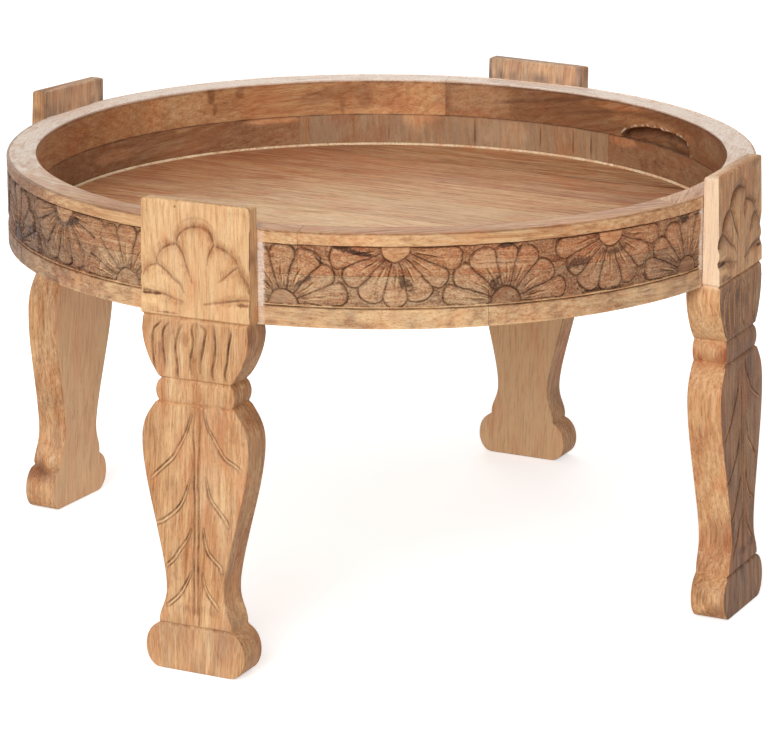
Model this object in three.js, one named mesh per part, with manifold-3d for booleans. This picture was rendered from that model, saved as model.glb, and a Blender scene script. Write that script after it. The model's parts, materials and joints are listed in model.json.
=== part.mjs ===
// A round bajot low table in hardwood: a deep tray with a block-built rim on four sawn plank legs.
// Millimetres, +Z up. The origin is on the floor under the tray's centre, and the front leg is at -Y.
import * as THREE from 'three';
import { mergeVertices } from 'three/addons/utils/BufferGeometryUtils.js';
import Module from 'manifold-3d';

const wasm = await Module();
wasm.setup();

// Driving dimensions of the whole table
const tableHeight = 450;
const stubRise = 21.8;
const rimRadius = 375;
const lowerCourseHeight = 49.5;
const upperCourseHeight = 39.7;
const wallThickness = 29.4;
const glueGap = 0.3;
const cutOverrun = 5;

// Rim: two courses of curved blocks, laid like bricks
const blocksPerCourse = 6;
const upperJointAngle = THREE.MathUtils.degToRad(14.6);
const lowerJointAngle = THREE.MathUtils.degToRad(41.5);
const topBandHeight = 12;
const bottomBandHeight = 18;
const friezeDepth = 2;
const bandBevel = 1.2;
const rimTopRounding = 2.5;
const wallTopEasing = 1.5;
const undersideEasing = 1;

// Tray floor: edge-glued boards whose thinned edge lies in a rebate of the lower course, and a bead
// that stands on that edge and closes the joint between the boards and the wall
const boardThickness = 16;
const rebateDepth = 9.7;
const lipThickness = 8;
const boardWidthShares = [0.131, 0.121, 0.124, 0.124, 0.127, 0.106, 0.12, 0.147];
const beadSize = 2;

// Battens under the floor, with their screws
const battenSpacing = 260;
const battenWidth = 40;
const battenThickness = 12;
const battenEndMargin = 15;
const battenEndBevel = 14;
const battenCount = 2;
const screwedBoards = [3, 6];
const screwEndMargin = 24;
const screwHeadRadius = 4.2;
const screwShankRadius = 2.1;
const screwHeadHeight = 2.6;
const screwBite = 9;
const screwTipLength = 3;
const screwHeadSink = 0.6;

// Legs: one sawn plank each, splayed, with a stub against the rim and a shoulder under it. They are set
// by hand, so each stands a little off its quarter of the rim, leans in its own plane with its foot
// to the right as seen from outside, and rises above the rim by a share of its own. Angles in degrees.
const legSides = ['front', 'right', 'back', 'left'];
const legTurns = [0.25, -0.4, -0.4, -2.2];
const legLeans = [0.4, 0.9, 1.1, 1.9];
const stubRiseShares = [1, 0.88, 1, 1.18];
const plankThickness = 35;
const splayAngle = THREE.MathUtils.degToRad(1.9);
const seatDepth = 5.1;
const stubThickness = 15.2;
const stubHalfWidth = 56.6;
const stubCornerRadius = 2.5;
const grooveWidth = 4.4;
const grooveDepth = 2.6;

// The sawn outline of a leg: half widths, and where they are reached. A height is counted up from the
// floor, and a drop down from the rim's underside.
const footSoleHalfWidth = 37;
const footHalfWidth = 52.6;
const footBulgeHeight = 21;
const footTopHalfWidth = 40.2;
const footTopHeight = 43.8;
const footGrooveHalfWidth = 38.2;
const footGrooveHeight = 45.6;
const heelHeight = 49;
const ankleHalfWidth = 30.3;
const ankleHeight = 80;
const bellyHalfWidth = 56;
const bellyDrop = 117;
const neckHalfWidth = 42.2;
const neckDrop = 81;
const ringHalfWidth = 38.4;
const ringBulge = 5.6;
const ringBottomDrop = 78.4;
const ringTopDrop = 59.6;
const waistHalfWidth = 35.7;
const waistDrop = 57.2;
const cupFootDrop = 54.8;
const cupHalfWidth = 55.8;
const cupTopDrop = 11;
const panelGrooveHalfWidth = 54.4;
const panelGrooveRise = 1.5;

// Dowels between a leg's stub and the rim's courses
const dowelRadius = 5;
const dowelInStub = 11;
const dowelInRim = 15;
const dowelChamfer = 1;

// Fineness of round work
const ringSides = 96;
const dowelSides = 14;
const screwSides = 12;
const curveSteps = 7;
const roundingSteps = 3;

// Sizes that follow from the ones above
const rimTop = tableHeight - stubRise;
const courseSeam = rimTop - upperCourseHeight;
const rimUnderside = courseSeam - lowerCourseHeight;
const wallRadius = rimRadius - wallThickness;
const rebateRadius = wallRadius + rebateDepth;
const rebateTop = rimUnderside + lipThickness + glueGap;
const friezeRadius = rimRadius - friezeDepth;
const floorTop = rimUnderside + boardThickness;
const floorRadius = wallRadius - glueGap - beadSize - glueGap;
const lipRadius = rebateRadius - glueGap;
const blockAngle = (2 * Math.PI) / blocksPerCourse;
const legAngles = legTurns.map((turn, index) => (
  THREE.MathUtils.degToRad(turn) + (2 * Math.PI * index) / legSides.length
));
const seatRadius = rimRadius - seatDepth;
const stubFaceRadius = seatRadius + glueGap;
const splaySlope = Math.tan(splayAngle);
const legFaceRadius = stubFaceRadius + stubThickness + rimTop * splaySlope;
const shoulderLevel = rimUnderside - glueGap;
const legTops = stubRiseShares.map((share) => rimTop + stubRise * share);
const upperDowelHeight = (courseSeam + rimTop) / 2;
const lowerDowelHeight = (rebateTop + courseSeam) / 2;
const screwLength = battenThickness - screwHeadSink + screwBite;
const battenSide = (battenSpacing + battenWidth) / 2;
const battenHalfLength = Math.sqrt((wallRadius - battenEndMargin) ** 2 - battenSide ** 2);
const bellyHeight = rimUnderside - bellyDrop;
const neckHeight = rimUnderside - neckDrop;
const ringBottomHeight = rimUnderside - ringBottomDrop;
const ringTopHeight = rimUnderside - ringTopDrop;
const waistHeight = rimUnderside - waistDrop;
const cupFootHeight = rimUnderside - cupFootDrop;
const cupTopHeight = rimUnderside - cupTopDrop;
const panelGrooveHeight = rimUnderside + panelGrooveRise;

const woods = {
  leg: wood(0xd8ab78, 0.55),
  upperCourse: wood(0xb98556, 0.5),
  lowerCourse: wood(0xa67c55, 0.52),
  board: wood(0xb3865f, 0.45),
  redBoard: wood(0xb67a55, 0.45),
  greyBoard: wood(0xa98b6b, 0.48),
  bead: wood(0xd9ba85, 0.6),
  dowel: wood(0xd2b48c, 0.7),
  batten: wood(0xb08a62, 0.65),
};
const screwSteel = new THREE.MeshStandardMaterial({ color: 0x9a9894, roughness: 0.4, metalness: 0.9 });

function wood(color, roughness) {
  return new THREE.MeshStandardMaterial({ color, roughness, metalness: 0 });
}

// Turns a closed three.js geometry into a solid that can be joined and cut.
function solidOf(geometry) {
  const bare = geometry.clone();
  bare.deleteAttribute('normal');
  bare.deleteAttribute('uv');
  const merged = mergeVertices(bare);
  return new wasm.Manifold(new wasm.Mesh({
    numProp: 3,
    vertProperties: new Float32Array(merged.attributes.position.array),
    triVerts: new Uint32Array(merged.index.array),
  }));
}

// Turns a solid back into a geometry for a mesh.
function geometryOf(solid) {
  const mesh = solid.getMesh();
  const geometry = new THREE.BufferGeometry();
  geometry.setAttribute('position', new THREE.BufferAttribute(mesh.vertProperties, mesh.numProp));
  geometry.setIndex(new THREE.BufferAttribute(mesh.triVerts, 1));
  geometry.computeVertexNormals();
  return geometry;
}

function named(name, geometry, material) {
  const mesh = new THREE.Mesh(geometry, material);
  mesh.name = name;
  return mesh;
}

// A box between two corners.
function block(low, high) {
  const size = new THREE.Vector3().subVectors(high, low);
  const centre = new THREE.Vector3().addVectors(low, high).multiplyScalar(0.5);
  return new THREE.BoxGeometry(size.x, size.y, size.z).translate(centre.x, centre.y, centre.z);
}

// Revolves a closed profile of (radius, height) points, anticlockwise, about Z. Its first side is at -Y.
function revolved(profile, sides) {
  return new THREE.LatheGeometry([...profile, profile[0]], sides).rotateX(Math.PI / 2);
}

// Revolves a profile that starts and ends on the axis.
function turned(profile, sides) {
  return new THREE.LatheGeometry(profile, sides).rotateX(Math.PI / 2);
}

function point(x, y) {
  return new THREE.Vector2(x, y);
}

// The points of a quarter round about a centre, between two angles.
function rounding(centreX, centreY, radius, fromAngle, toAngle) {
  const points = [];
  for (let step = 0; step <= roundingSteps; step += 1) {
    const angle = fromAngle + ((toAngle - fromAngle) * step) / roundingSteps;
    points.push(point(centreX + radius * Math.cos(angle), centreY + radius * Math.sin(angle)));
  }
  return points;
}

// A sector of the ring, centred on -Y, that leaves half a glue gap at each end.
function blockSector() {
  const apex = glueGap / 2 / Math.sin(blockAngle / 2);
  const reach = rimRadius + cutOverrun;
  const halfSpread = (reach - apex) * Math.tan(blockAngle / 2);
  const shape = new THREE.Shape();
  shape.moveTo(0, -apex);
  shape.lineTo(-halfSpread, -reach);
  shape.lineTo(halfSpread, -reach);
  const height = rimTop - rimUnderside + 2 * cutOverrun;
  return new THREE.ExtrudeGeometry(shape, { depth: height, bevelEnabled: false })
    .translate(0, 0, rimUnderside - cutOverrun);
}

// What a leg takes off the rim: the flat that its stub lies on, and the two dowel holes.
function legSeat() {
  const flat = solidOf(block(
    new THREE.Vector3(-rimRadius, -rimRadius - cutOverrun, rimUnderside - cutOverrun),
    new THREE.Vector3(rimRadius, -seatRadius, rimTop + cutOverrun),
  ));
  const holes = dowelHeights().map((height) => solidOf(dowelHole(dowelInRim, height)
    .translate(0, -seatRadius, 0)));
  return holes.reduce((cut, hole) => cut.add(hole), flat);
}

function dowelHeights() {
  return [upperDowelHeight, lowerDowelHeight];
}

// A dowel hole that runs inwards along Y from Y = 0, with a cutting overrun outside.
function dowelHole(depth, height) {
  const radius = dowelRadius + glueGap;
  return new THREE.CylinderGeometry(radius, radius, depth + cutOverrun, dowelSides)
    .translate(0, (depth - cutOverrun) / 2, 0)
    .translate(0, 0, height);
}

function upperCourseProfile() {
  const base = courseSeam + glueGap;
  const bandFoot = rimTop - topBandHeight;
  return [
    point(wallRadius, base),
    point(friezeRadius, base),
    point(friezeRadius, bandFoot),
    point(rimRadius, bandFoot + bandBevel),
    ...rounding(rimRadius - rimTopRounding, rimTop - rimTopRounding, rimTopRounding, 0, Math.PI / 2),
    point(wallRadius + wallTopEasing, rimTop),
    point(wallRadius, rimTop - wallTopEasing),
  ];
}

function lowerCourseProfile() {
  const bandTop = rimUnderside + bottomBandHeight;
  return [
    point(rebateRadius, rimUnderside),
    point(rimRadius - undersideEasing, rimUnderside),
    point(rimRadius, rimUnderside + undersideEasing),
    point(rimRadius, bandTop - bandBevel),
    point(friezeRadius, bandTop),
    point(friezeRadius, courseSeam),
    point(wallRadius, courseSeam),
    point(wallRadius, rebateTop),
    point(rebateRadius, rebateTop),
  ];
}

// One course of the rim: each block is cut from the ring, then fitted to the legs that it carries.
function rimCourse(label, profile, jointAngle, material) {
  const course = new THREE.Group();
  const ring = solidOf(revolved(profile, ringSides));
  const sector = solidOf(blockSector());
  const seat = legSeat();
  for (let index = 0; index < blocksPerCourse; index += 1) {
    const turn = jointAngle + blockAngle * (index + 0.5);
    let body = ring.intersect(sector);
    for (const legAngle of legAngles) {
      body = body.subtract(seat.rotate([0, 0, THREE.MathUtils.radToDeg(legAngle - turn)]));
    }
    const mesh = named(`rim_${label}_${index + 1}`, geometryOf(body), material);
    mesh.rotation.z = turn;
    course.add(mesh);
  }
  return course;
}

// The round floor panel: full thickness inside the bead, and a thinner lip under it and in the rebate.
function floorPanel() {
  const lipTop = rimUnderside + lipThickness;
  return solidOf(turned([
    point(0, rimUnderside),
    point(lipRadius, rimUnderside),
    point(lipRadius, lipTop),
    point(floorRadius, lipTop),
    point(floorRadius, floorTop),
    point(0, floorTop),
  ], ringSides));
}

// Where each board starts and ends along Y.
function boardSpans() {
  let edge = -lipRadius;
  return boardWidthShares.map((share) => {
    const start = edge;
    edge += 2 * lipRadius * share;
    return { start, end: edge, middle: (start + edge) / 2 };
  });
}

function trayFloor() {
  const floor = new THREE.Group();
  const panel = floorPanel();
  const woodOrder = [woods.greyBoard, woods.board, woods.greyBoard, woods.board,
    woods.greyBoard, woods.redBoard, woods.redBoard, woods.board];
  const holes = screwPlaces().map((place) => solidOf(screwShankHole()
    .translate(place.x, place.y, 0)));
  boardSpans().forEach(({ start, end, middle }, index) => {
    const strip = solidOf(block(
      new THREE.Vector3(-rimRadius, start + glueGap / 2, rimUnderside - cutOverrun),
      new THREE.Vector3(rimRadius, end - glueGap / 2, floorTop + cutOverrun),
    ));
    const cut = holes.reduce((body, hole) => body.subtract(hole), panel.intersect(strip));
    const geometry = geometryOf(cut.translate([0, -middle, -rimUnderside]));
    const board = named(`tray_board_${index + 1}`, geometry, woodOrder[index]);
    board.position.set(0, middle, rimUnderside);
    floor.add(board);
  });
  return floor;
}

// The bead at the foot of the tray's wall: a bent strip with a rounded edge above the boards.
function trayBead() {
  const radius = wallRadius - glueGap;
  const height = boardThickness - lipThickness - glueGap + beadSize;
  const profile = [
    point(radius - beadSize, 0),
    point(radius, 0),
    point(radius, height),
    ...rounding(radius, height - beadSize, beadSize, Math.PI / 2, Math.PI).slice(1),
  ];
  const bead = named('tray_bead', revolved(profile, ringSides), woods.bead);
  bead.position.z = rimUnderside + lipThickness + glueGap;
  return bead;
}

function battenX(index) {
  return battenSpacing * (index / (battenCount - 1) - 0.5);
}

// Each batten is screwed near its ends, into the outer boards, and to the middle of two inner boards.
function screwRow() {
  const spans = boardSpans();
  const end = battenHalfLength - screwEndMargin;
  return [-end, ...screwedBoards.map((board) => spans[board - 1].middle), end];
}

function screwPlaces() {
  const places = [];
  for (let batten = 0; batten < battenCount; batten += 1) {
    places.push(...screwRow().map((y) => point(battenX(batten), y)));
  }
  return places;
}

// A countersunk screw that stands on its head, with its tip up, from Z = 0. A margin makes its hole.
function screwBody(margin, length) {
  return turned([
    point(0, -margin),
    point(screwHeadRadius + margin, -margin),
    point(screwShankRadius + margin, screwHeadHeight),
    point(screwShankRadius + margin, length - screwTipLength + margin),
    point(0, length + margin),
  ], screwSides);
}

function screwFoot() {
  return rimUnderside - glueGap - battenThickness + screwHeadSink;
}

function screwShankHole() {
  return screwBody(glueGap, screwLength).translate(0, 0, screwFoot());
}

// The sink under a screw's head, down past the batten's lower face.
function screwSinkHole() {
  const radius = screwHeadRadius + glueGap;
  const depth = screwHeadSink + cutOverrun;
  return new THREE.CylinderGeometry(radius, radius, depth, screwSides)
    .rotateX(Math.PI / 2)
    .translate(0, 0, screwFoot() - depth / 2);
}

function battens() {
  const group = new THREE.Group();
  const top = rimUnderside - glueGap;
  const shape = new THREE.Shape();
  shape.moveTo(-battenHalfLength + battenEndBevel, top - battenThickness);
  shape.lineTo(battenHalfLength - battenEndBevel, top - battenThickness);
  shape.lineTo(battenHalfLength, top - battenThickness / 2);
  shape.lineTo(battenHalfLength, top);
  shape.lineTo(-battenHalfLength, top);
  shape.lineTo(-battenHalfLength, top - battenThickness / 2);
  const bar = solidOf(new THREE.ExtrudeGeometry(shape, { depth: battenWidth, bevelEnabled: false })
    .rotateX(Math.PI / 2)
    .rotateZ(Math.PI / 2)
    .translate(-battenWidth / 2, 0, 0));
  for (let index = 0; index < battenCount; index += 1) {
    let body = bar;
    for (const y of screwRow()) {
      body = body.subtract(solidOf(screwShankHole().translate(0, y, 0)));
      body = body.subtract(solidOf(screwSinkHole().translate(0, y, 0)));
    }
    const batten = named(`batten_${index + 1}`, geometryOf(body), woods.batten);
    batten.position.x = battenX(index);
    group.add(batten);
  }
  screwPlaces().forEach((place, index) => {
    const batten = Math.floor(index / screwRow().length) + 1;
    const number = (index % screwRow().length) + 1;
    const screw = named(`batten_${batten}_screw_${number}`, screwBody(0, screwLength), screwSteel);
    screw.position.set(place.x, place.y, screwFoot());
    group.add(screw);
  });
  return group;
}

// Adds a curve to a path. Its control points lie at shares of the way from each end, across and up.
function sweepTo(path, x, y, leaveShare, arriveShare) {
  const start = path.currentPoint.clone();
  const across = x - start.x;
  const up = y - start.y;
  path.bezierCurveTo(
    start.x + across * leaveShare[0],
    start.y + up * leaveShare[1],
    x - across * arriveShare[0],
    y - up * arriveShare[1],
    x,
    y,
  );
}

// The right-hand edge of a leg's outline, from an overrun below the sole to the top.
function legEdge(plankLength) {
  const path = new THREE.Path();
  path.moveTo(footSoleHalfWidth, -cutOverrun);
  path.lineTo(footSoleHalfWidth, 0);
  sweepTo(path, footHalfWidth, footBulgeHeight, [0.6, 0.05], [0, 0.52]);
  sweepTo(path, footTopHalfWidth, footTopHeight, [0, 0.52], [0.59, 0.17]);
  path.lineTo(footGrooveHalfWidth, footGrooveHeight);
  path.lineTo(footGrooveHalfWidth, heelHeight);
  sweepTo(path, ankleHalfWidth, ankleHeight, [0.12, 0.34], [0, 0.46]);
  sweepTo(path, bellyHalfWidth, bellyHeight, [0, 0.225], [0, 0.3]);
  sweepTo(path, neckHalfWidth, neckHeight, [0, 0.53], [0.44, 0.25]);
  path.lineTo(ringHalfWidth, ringBottomHeight);
  path.quadraticCurveTo(
    ringHalfWidth + ringBulge,
    (ringBottomHeight + ringTopHeight) / 2,
    ringHalfWidth,
    ringTopHeight,
  );
  path.lineTo(waistHalfWidth, waistHeight);
  path.lineTo(ringHalfWidth, cupFootHeight);
  sweepTo(path, cupHalfWidth, cupTopHeight, [0.51, 0.23], [0.03, 0.36]);
  path.lineTo(panelGrooveHalfWidth, panelGrooveHeight);
  path.lineTo(stubHalfWidth, panelGrooveHeight + grooveWidth / 2);
  path.lineTo(stubHalfWidth, plankLength - stubCornerRadius);
  path.absarc(
    stubHalfWidth - stubCornerRadius,
    plankLength - stubCornerRadius,
    stubCornerRadius,
    0,
    Math.PI / 2,
    false,
  );
  return path.getPoints(curveSteps);
}

// A V groove across the outer face of a leg, at Y = 0.
function faceGroove(height) {
  const shape = new THREE.Shape();
  shape.moveTo(-cutOverrun, height - grooveWidth / 2 - (cutOverrun * grooveWidth) / 2 / grooveDepth);
  shape.lineTo(grooveDepth, height);
  shape.lineTo(-cutOverrun, height + grooveWidth / 2 + (cutOverrun * grooveWidth) / 2 / grooveDepth);
  const length = 2 * (stubHalfWidth + cutOverrun);
  return new THREE.ExtrudeGeometry(shape, { depth: length, bevelEnabled: false })
    .rotateX(Math.PI / 2)
    .rotateZ(Math.PI / 2)
    .translate(-length / 2, 0, 0);
}

// A leg, as it stands at the front: the sawn plank with its face grooves, splayed and cut off level at
// its top, then leaned, levelled at the floor and notched behind for the rim.
function legBody(top, lean) {
  const edge = legEdge(top / Math.cos(splayAngle));
  const mirrored = edge.map((place) => point(-place.x, place.y)).reverse();
  const plank = solidOf(new THREE.ExtrudeGeometry(
    new THREE.Shape([...edge, ...mirrored]),
    { depth: plankThickness, bevelEnabled: false },
  ).translate(0, 0, -plankThickness).rotateX(Math.PI / 2));
  const grooveHeights = [
    (footTopHeight + footGrooveHeight) / 2,
    (neckHeight + ringBottomHeight) / 2,
    waistHeight,
    panelGrooveHeight,
  ];
  const grooved = grooveHeights.reduce((body, height) => body.subtract(solidOf(faceGroove(height))), plank);
  const below = solidOf(block(
    new THREE.Vector3(-rimRadius, -2 * rimRadius, -plankThickness),
    new THREE.Vector3(rimRadius, 0, 0),
  ));
  const leaned = grooved
    .rotate([-THREE.MathUtils.radToDeg(splayAngle), 0, 0])
    .translate([0, -legFaceRadius, 0])
    .subtract(below.translate([0, 0, top + plankThickness]))
    .translate([0, 0, -rimUnderside])
    .rotate([0, -lean, 0])
    .translate([0, 0, rimUnderside]);
  const notch = solidOf(block(
    new THREE.Vector3(-rimRadius, -stubFaceRadius, shoulderLevel),
    new THREE.Vector3(rimRadius, 0, top + plankThickness),
  ));
  const holes = dowelHeights().map((height) => solidOf(dowelHole(dowelInStub, height)
    .rotateZ(Math.PI)
    .translate(0, -stubFaceRadius, 0)));
  return [below, notch, ...holes].reduce((body, cut) => body.subtract(cut), leaned);
}

// A dowel that lies along Y, bridging the stub and the rim.
function dowel() {
  const outer = seatRadius + dowelInStub;
  const inner = seatRadius - dowelInRim + glueGap;
  const length = outer - inner;
  return turned([
    point(0, -length / 2),
    point(dowelRadius - dowelChamfer, -length / 2),
    point(dowelRadius, -length / 2 + dowelChamfer),
    point(dowelRadius, length / 2 - dowelChamfer),
    point(dowelRadius - dowelChamfer, length / 2),
    point(0, length / 2),
  ], dowelSides).rotateX(Math.PI / 2).translate(0, -(outer + inner) / 2, 0);
}

function legs() {
  const group = new THREE.Group();
  const dowelGeometry = dowel();
  legSides.forEach((side, index) => {
    const legGeometry = geometryOf(legBody(legTops[index], legLeans[index]));
    const corner = new THREE.Group();
    corner.rotation.z = legAngles[index];
    corner.add(named(`leg_${side}`, legGeometry, woods.leg));
    ['upper', 'lower'].forEach((course, row) => {
      const pin = named(`leg_${side}_dowel_${course}`, dowelGeometry, woods.dowel);
      pin.position.z = dowelHeights()[row];
      corner.add(pin);
    });
    group.add(corner);
  });
  return group;
}

const table = new THREE.Group();
table.add(rimCourse('upper', upperCourseProfile(), upperJointAngle, woods.upperCourse));
table.add(rimCourse('lower', lowerCourseProfile(), lowerJointAngle, woods.lowerCourse));
table.add(trayFloor());
table.add(trayBead());
table.add(battens());
table.add(legs());

export default table;
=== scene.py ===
"""Looks of a round bajot low table: carved rim blocks and legs, boarded tray floor, waxed hardwood."""

import json
import math

import bpy
import numpy as np
from mathutils import Matrix, Vector


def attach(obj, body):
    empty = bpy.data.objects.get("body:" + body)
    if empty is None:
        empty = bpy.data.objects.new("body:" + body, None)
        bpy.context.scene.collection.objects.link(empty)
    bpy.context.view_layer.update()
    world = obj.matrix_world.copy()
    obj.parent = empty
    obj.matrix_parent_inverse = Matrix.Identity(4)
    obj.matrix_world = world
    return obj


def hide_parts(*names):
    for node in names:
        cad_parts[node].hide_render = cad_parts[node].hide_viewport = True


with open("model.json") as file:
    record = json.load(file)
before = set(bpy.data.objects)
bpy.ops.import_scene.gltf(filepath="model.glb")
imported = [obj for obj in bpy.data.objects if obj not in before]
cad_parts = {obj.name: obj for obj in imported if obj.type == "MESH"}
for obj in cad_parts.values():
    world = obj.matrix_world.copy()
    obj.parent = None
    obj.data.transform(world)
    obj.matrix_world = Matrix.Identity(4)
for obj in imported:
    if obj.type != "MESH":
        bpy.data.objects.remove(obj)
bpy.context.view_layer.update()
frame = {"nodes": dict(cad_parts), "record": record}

MM = 0.001

# Sizes of the table, in millimetres, as in its solids
RIM_RADIUS = 375
WALL_RADIUS = 345.6
REBATE_RADIUS = 355.3
RIM_TOP = 428.2
COURSE_SEAM = 388.5
RIM_UNDERSIDE = 339
REBATE_TOP = 347.3
GLUE_GAP = 0.3
SEAT_RADIUS = 369.9
STUB_FACE_RADIUS = 370.2
LEG_FACE_RADIUS = 399.6
SPLAY_SLOPE = math.tan(math.radians(1.9))
PLANK_THICKNESS = 35
SHOULDER = 338.7
BLOCK_ANGLE = 60
FIRST_JOINTS = {"upper": 14.6, "lower": 41.5}
UPPER_BAND_FOOT = 416.2
LOWER_BAND_HEAD = 357
TOP_ROUNDING = 2.5
WALL_EASING = 1.5
# Each leg is set by hand: degrees off its quarter of the rim and of its lean, and the height of its top
LEG_TURNS = (0.25, -0.4, -0.4, -2.2)
LEG_LEANS = (0.4, 0.9, 1.1, 1.9)
LEG_TOPS = (450.0, 447.4, 450.0, 453.9)

# Fineness of the carved meshes
ALONG_STEP = 0.85
FRIEZE_STEP = 0.62
LEG_ROW_STEP = 0.93
LEG_COLUMNS = 146
INNER_COLUMNS = 24
CORNER_COLUMNS = 4
FLANK_COLUMNS = 10
# The columns round a leg: its carved face, the flank at the right with its corner, the inner face, the left
FACE = slice(0, LEG_COLUMNS)
RIGHT = slice(LEG_COLUMNS, LEG_COLUMNS + CORNER_COLUMNS + FLANK_COLUMNS)
INNER = slice(RIGHT.stop, RIGHT.stop + INNER_COLUMNS)
LEFT = slice(INNER.stop, INNER.stop + FLANK_COLUMNS + CORNER_COLUMNS)
FLANK_SHARES = np.linspace(0, 1, FLANK_COLUMNS)[1:]


# Smooth hand-made unevenness, and other small helpers on numbers

def uneven(x, y, size, seed):
    """Smooth values between -1 and 1 that change over about one size."""
    cells = 64
    grid = np.random.default_rng(seed).random((cells, cells)) * 2 - 1
    gx, gy = np.asarray(x) / size, np.asarray(y) / size
    x0, y0 = np.floor(gx).astype(int), np.floor(gy).astype(int)
    fx, fy = gx - x0, gy - y0
    fx, fy = fx * fx * (3 - 2 * fx), fy * fy * (3 - 2 * fy)
    a, b = grid[x0 % cells, y0 % cells], grid[(x0 + 1) % cells, y0 % cells]
    c, d = grid[x0 % cells, (y0 + 1) % cells], grid[(x0 + 1) % cells, (y0 + 1) % cells]
    return (a * (1 - fx) + b * fx) * (1 - fy) + (c * (1 - fx) + d * fx) * fy


def wrapped(angle):
    """An angle in degrees, between -180 and 180."""
    return (angle + 180) % 360 - 180


def fade(value, start, end):
    """0 at start and 1 at end, with soft ends. The end may lie below the start."""
    t = np.clip((value - start) / (end - start), 0, 1)
    return t * t * (3 - 2 * t)


def dent(distance, width):
    """1 at the middle of a cut, 0 from its width on."""
    return np.clip(1 - np.abs(distance) / width, 0, 1)


def mark(distance, width):
    """A line that is fully dark over more of its width than a cut."""
    return np.clip(1.6 * (1 - np.abs(distance) / width), 0, 1)


def hill(distance, width):
    """1 in the middle, falling off softly over about one width."""
    return np.exp(-(distance / width) ** 2)


# Meshes that are swept: rings of points, all with as many points, joined by quads

def swept_mesh(name, rings, channels):
    """A closed body from rings (count, points, 3) in millimetres. Channels are values for each point."""
    count, around = rings.shape[:2]
    first = np.arange(count - 1)[:, None] * around
    side = np.arange(around)[None, :]
    following = (side + 1) % around
    quads = np.stack([first + side, first + following, first + around + following,
                      first + around + side], axis=-1).reshape(-1, 4)
    corners = rings.reshape(-1, 3)
    a, b, c, d = (corners[quads[:, k]] for k in range(4))
    turned = np.einsum("ij,ij->i", a, np.cross(b, c)) + np.einsum("ij,ij->i", a, np.cross(c, d))
    head = np.arange(around)[::-1]
    tail = (count - 1) * around + np.arange(around)
    if turned.sum() < 0:
        quads, head, tail = quads[:, ::-1], head[::-1], tail[::-1]
    mesh = bpy.data.meshes.new(name)
    mesh.vertices.add(len(corners))
    mesh.vertices.foreach_set("co", (corners * MM).ravel())
    loops = np.concatenate([quads.ravel(), head, tail])
    mesh.loops.add(len(loops))
    mesh.loops.foreach_set("vertex_index", loops)
    mesh.polygons.add(len(quads) + 2)
    starts = np.append(np.arange(len(quads) + 1) * 4, len(quads) * 4 + around)
    mesh.polygons.foreach_set("loop_start", starts)
    mesh.update(calc_edges=True)
    mesh.validate()
    mesh.polygons.foreach_set("use_smooth", np.ones(len(mesh.polygons), bool))
    for channel, values in channels.items():
        kind, field = ("FLOAT_VECTOR", "vector") if values.ndim == 3 else ("FLOAT", "value")
        attribute = mesh.attributes.new(channel, kind, "POINT")
        attribute.data.foreach_set(field, values.astype(np.float32).ravel())
    mesh.set_sharp_from_angle(angle=math.radians(42))
    return mesh


def placed(name, data):
    """A new object of the scene."""
    body = bpy.data.objects.new(name, data)
    bpy.context.scene.collection.objects.link(body)
    return body


def piece(name, mesh, material, node):
    """Puts a mesh into the scene in place of a node of the frame."""
    body = placed(name, mesh)
    mesh.materials.append(material)
    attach(body, "root")
    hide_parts(node)


# Shader building

class Wire:
    """A socket of a node tree. Sums on it are written as plain expressions."""

    def __init__(self, nodes, socket):
        self.nodes = nodes
        self.socket = socket

    def beside(self, output):
        """Another output of the same node."""
        return Wire(self.nodes, self.socket.node.outputs[output])

    def sum(self, operation, left, right):
        return self.nodes.node("ShaderNodeMath", {"operation": operation}, {0: left, 1: right})

    def __add__(self, other):
        return self.sum("ADD", self, other)

    def __radd__(self, other):
        return self.sum("ADD", other, self)

    def __sub__(self, other):
        return self.sum("SUBTRACT", self, other)

    def __rsub__(self, other):
        return self.sum("SUBTRACT", other, self)

    def __mul__(self, other):
        return self.sum("MULTIPLY", self, other)

    def __rmul__(self, other):
        return self.sum("MULTIPLY", other, self)


class Nodes:
    """The emptied node tree of a material or a world, built node by node."""

    def __init__(self, owner):
        owner.use_nodes = True
        self.tree = owner.node_tree
        self.tree.nodes.clear()

    def node(self, kind, settings=None, inputs=None, output=0):
        """Adds a node: its settings first, then the values or links of its sockets."""
        made = self.tree.nodes.new(kind)
        for name, value in (settings or {}).items():
            if name == "stops":
                self.set_stops(made.color_ramp, value)
            else:
                setattr(made, name, value)
        for socket, value in (inputs or {}).items():
            if isinstance(value, Wire):
                self.tree.links.new(value.socket, made.inputs[socket])
            else:
                made.inputs[socket].default_value = value
        return Wire(self, made.outputs[output]) if made.outputs else made

    def set_stops(self, ramp, stops):
        while len(ramp.elements) < len(stops):
            ramp.elements.new(0.5)
        for element, (place, colour) in zip(ramp.elements, stops):
            element.position = place
            element.color = colour

    def between(self, factor, low, high, least=0.0):
        """The least value at low and 1 at high."""
        return self.node("ShaderNodeMapRange", {"clamp": True},
                         {"Value": factor, "From Min": low, "From Max": high, "To Min": least}, "Result")

    def seen_directly(self):
        """1 for what the camera sees, also in metal and through glass."""
        path = self.node("ShaderNodeLightPath", {}, {}, "Is Camera Ray")
        return path + path.beside("Is Glossy Ray") + path.beside("Is Transmission Ray")


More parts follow.
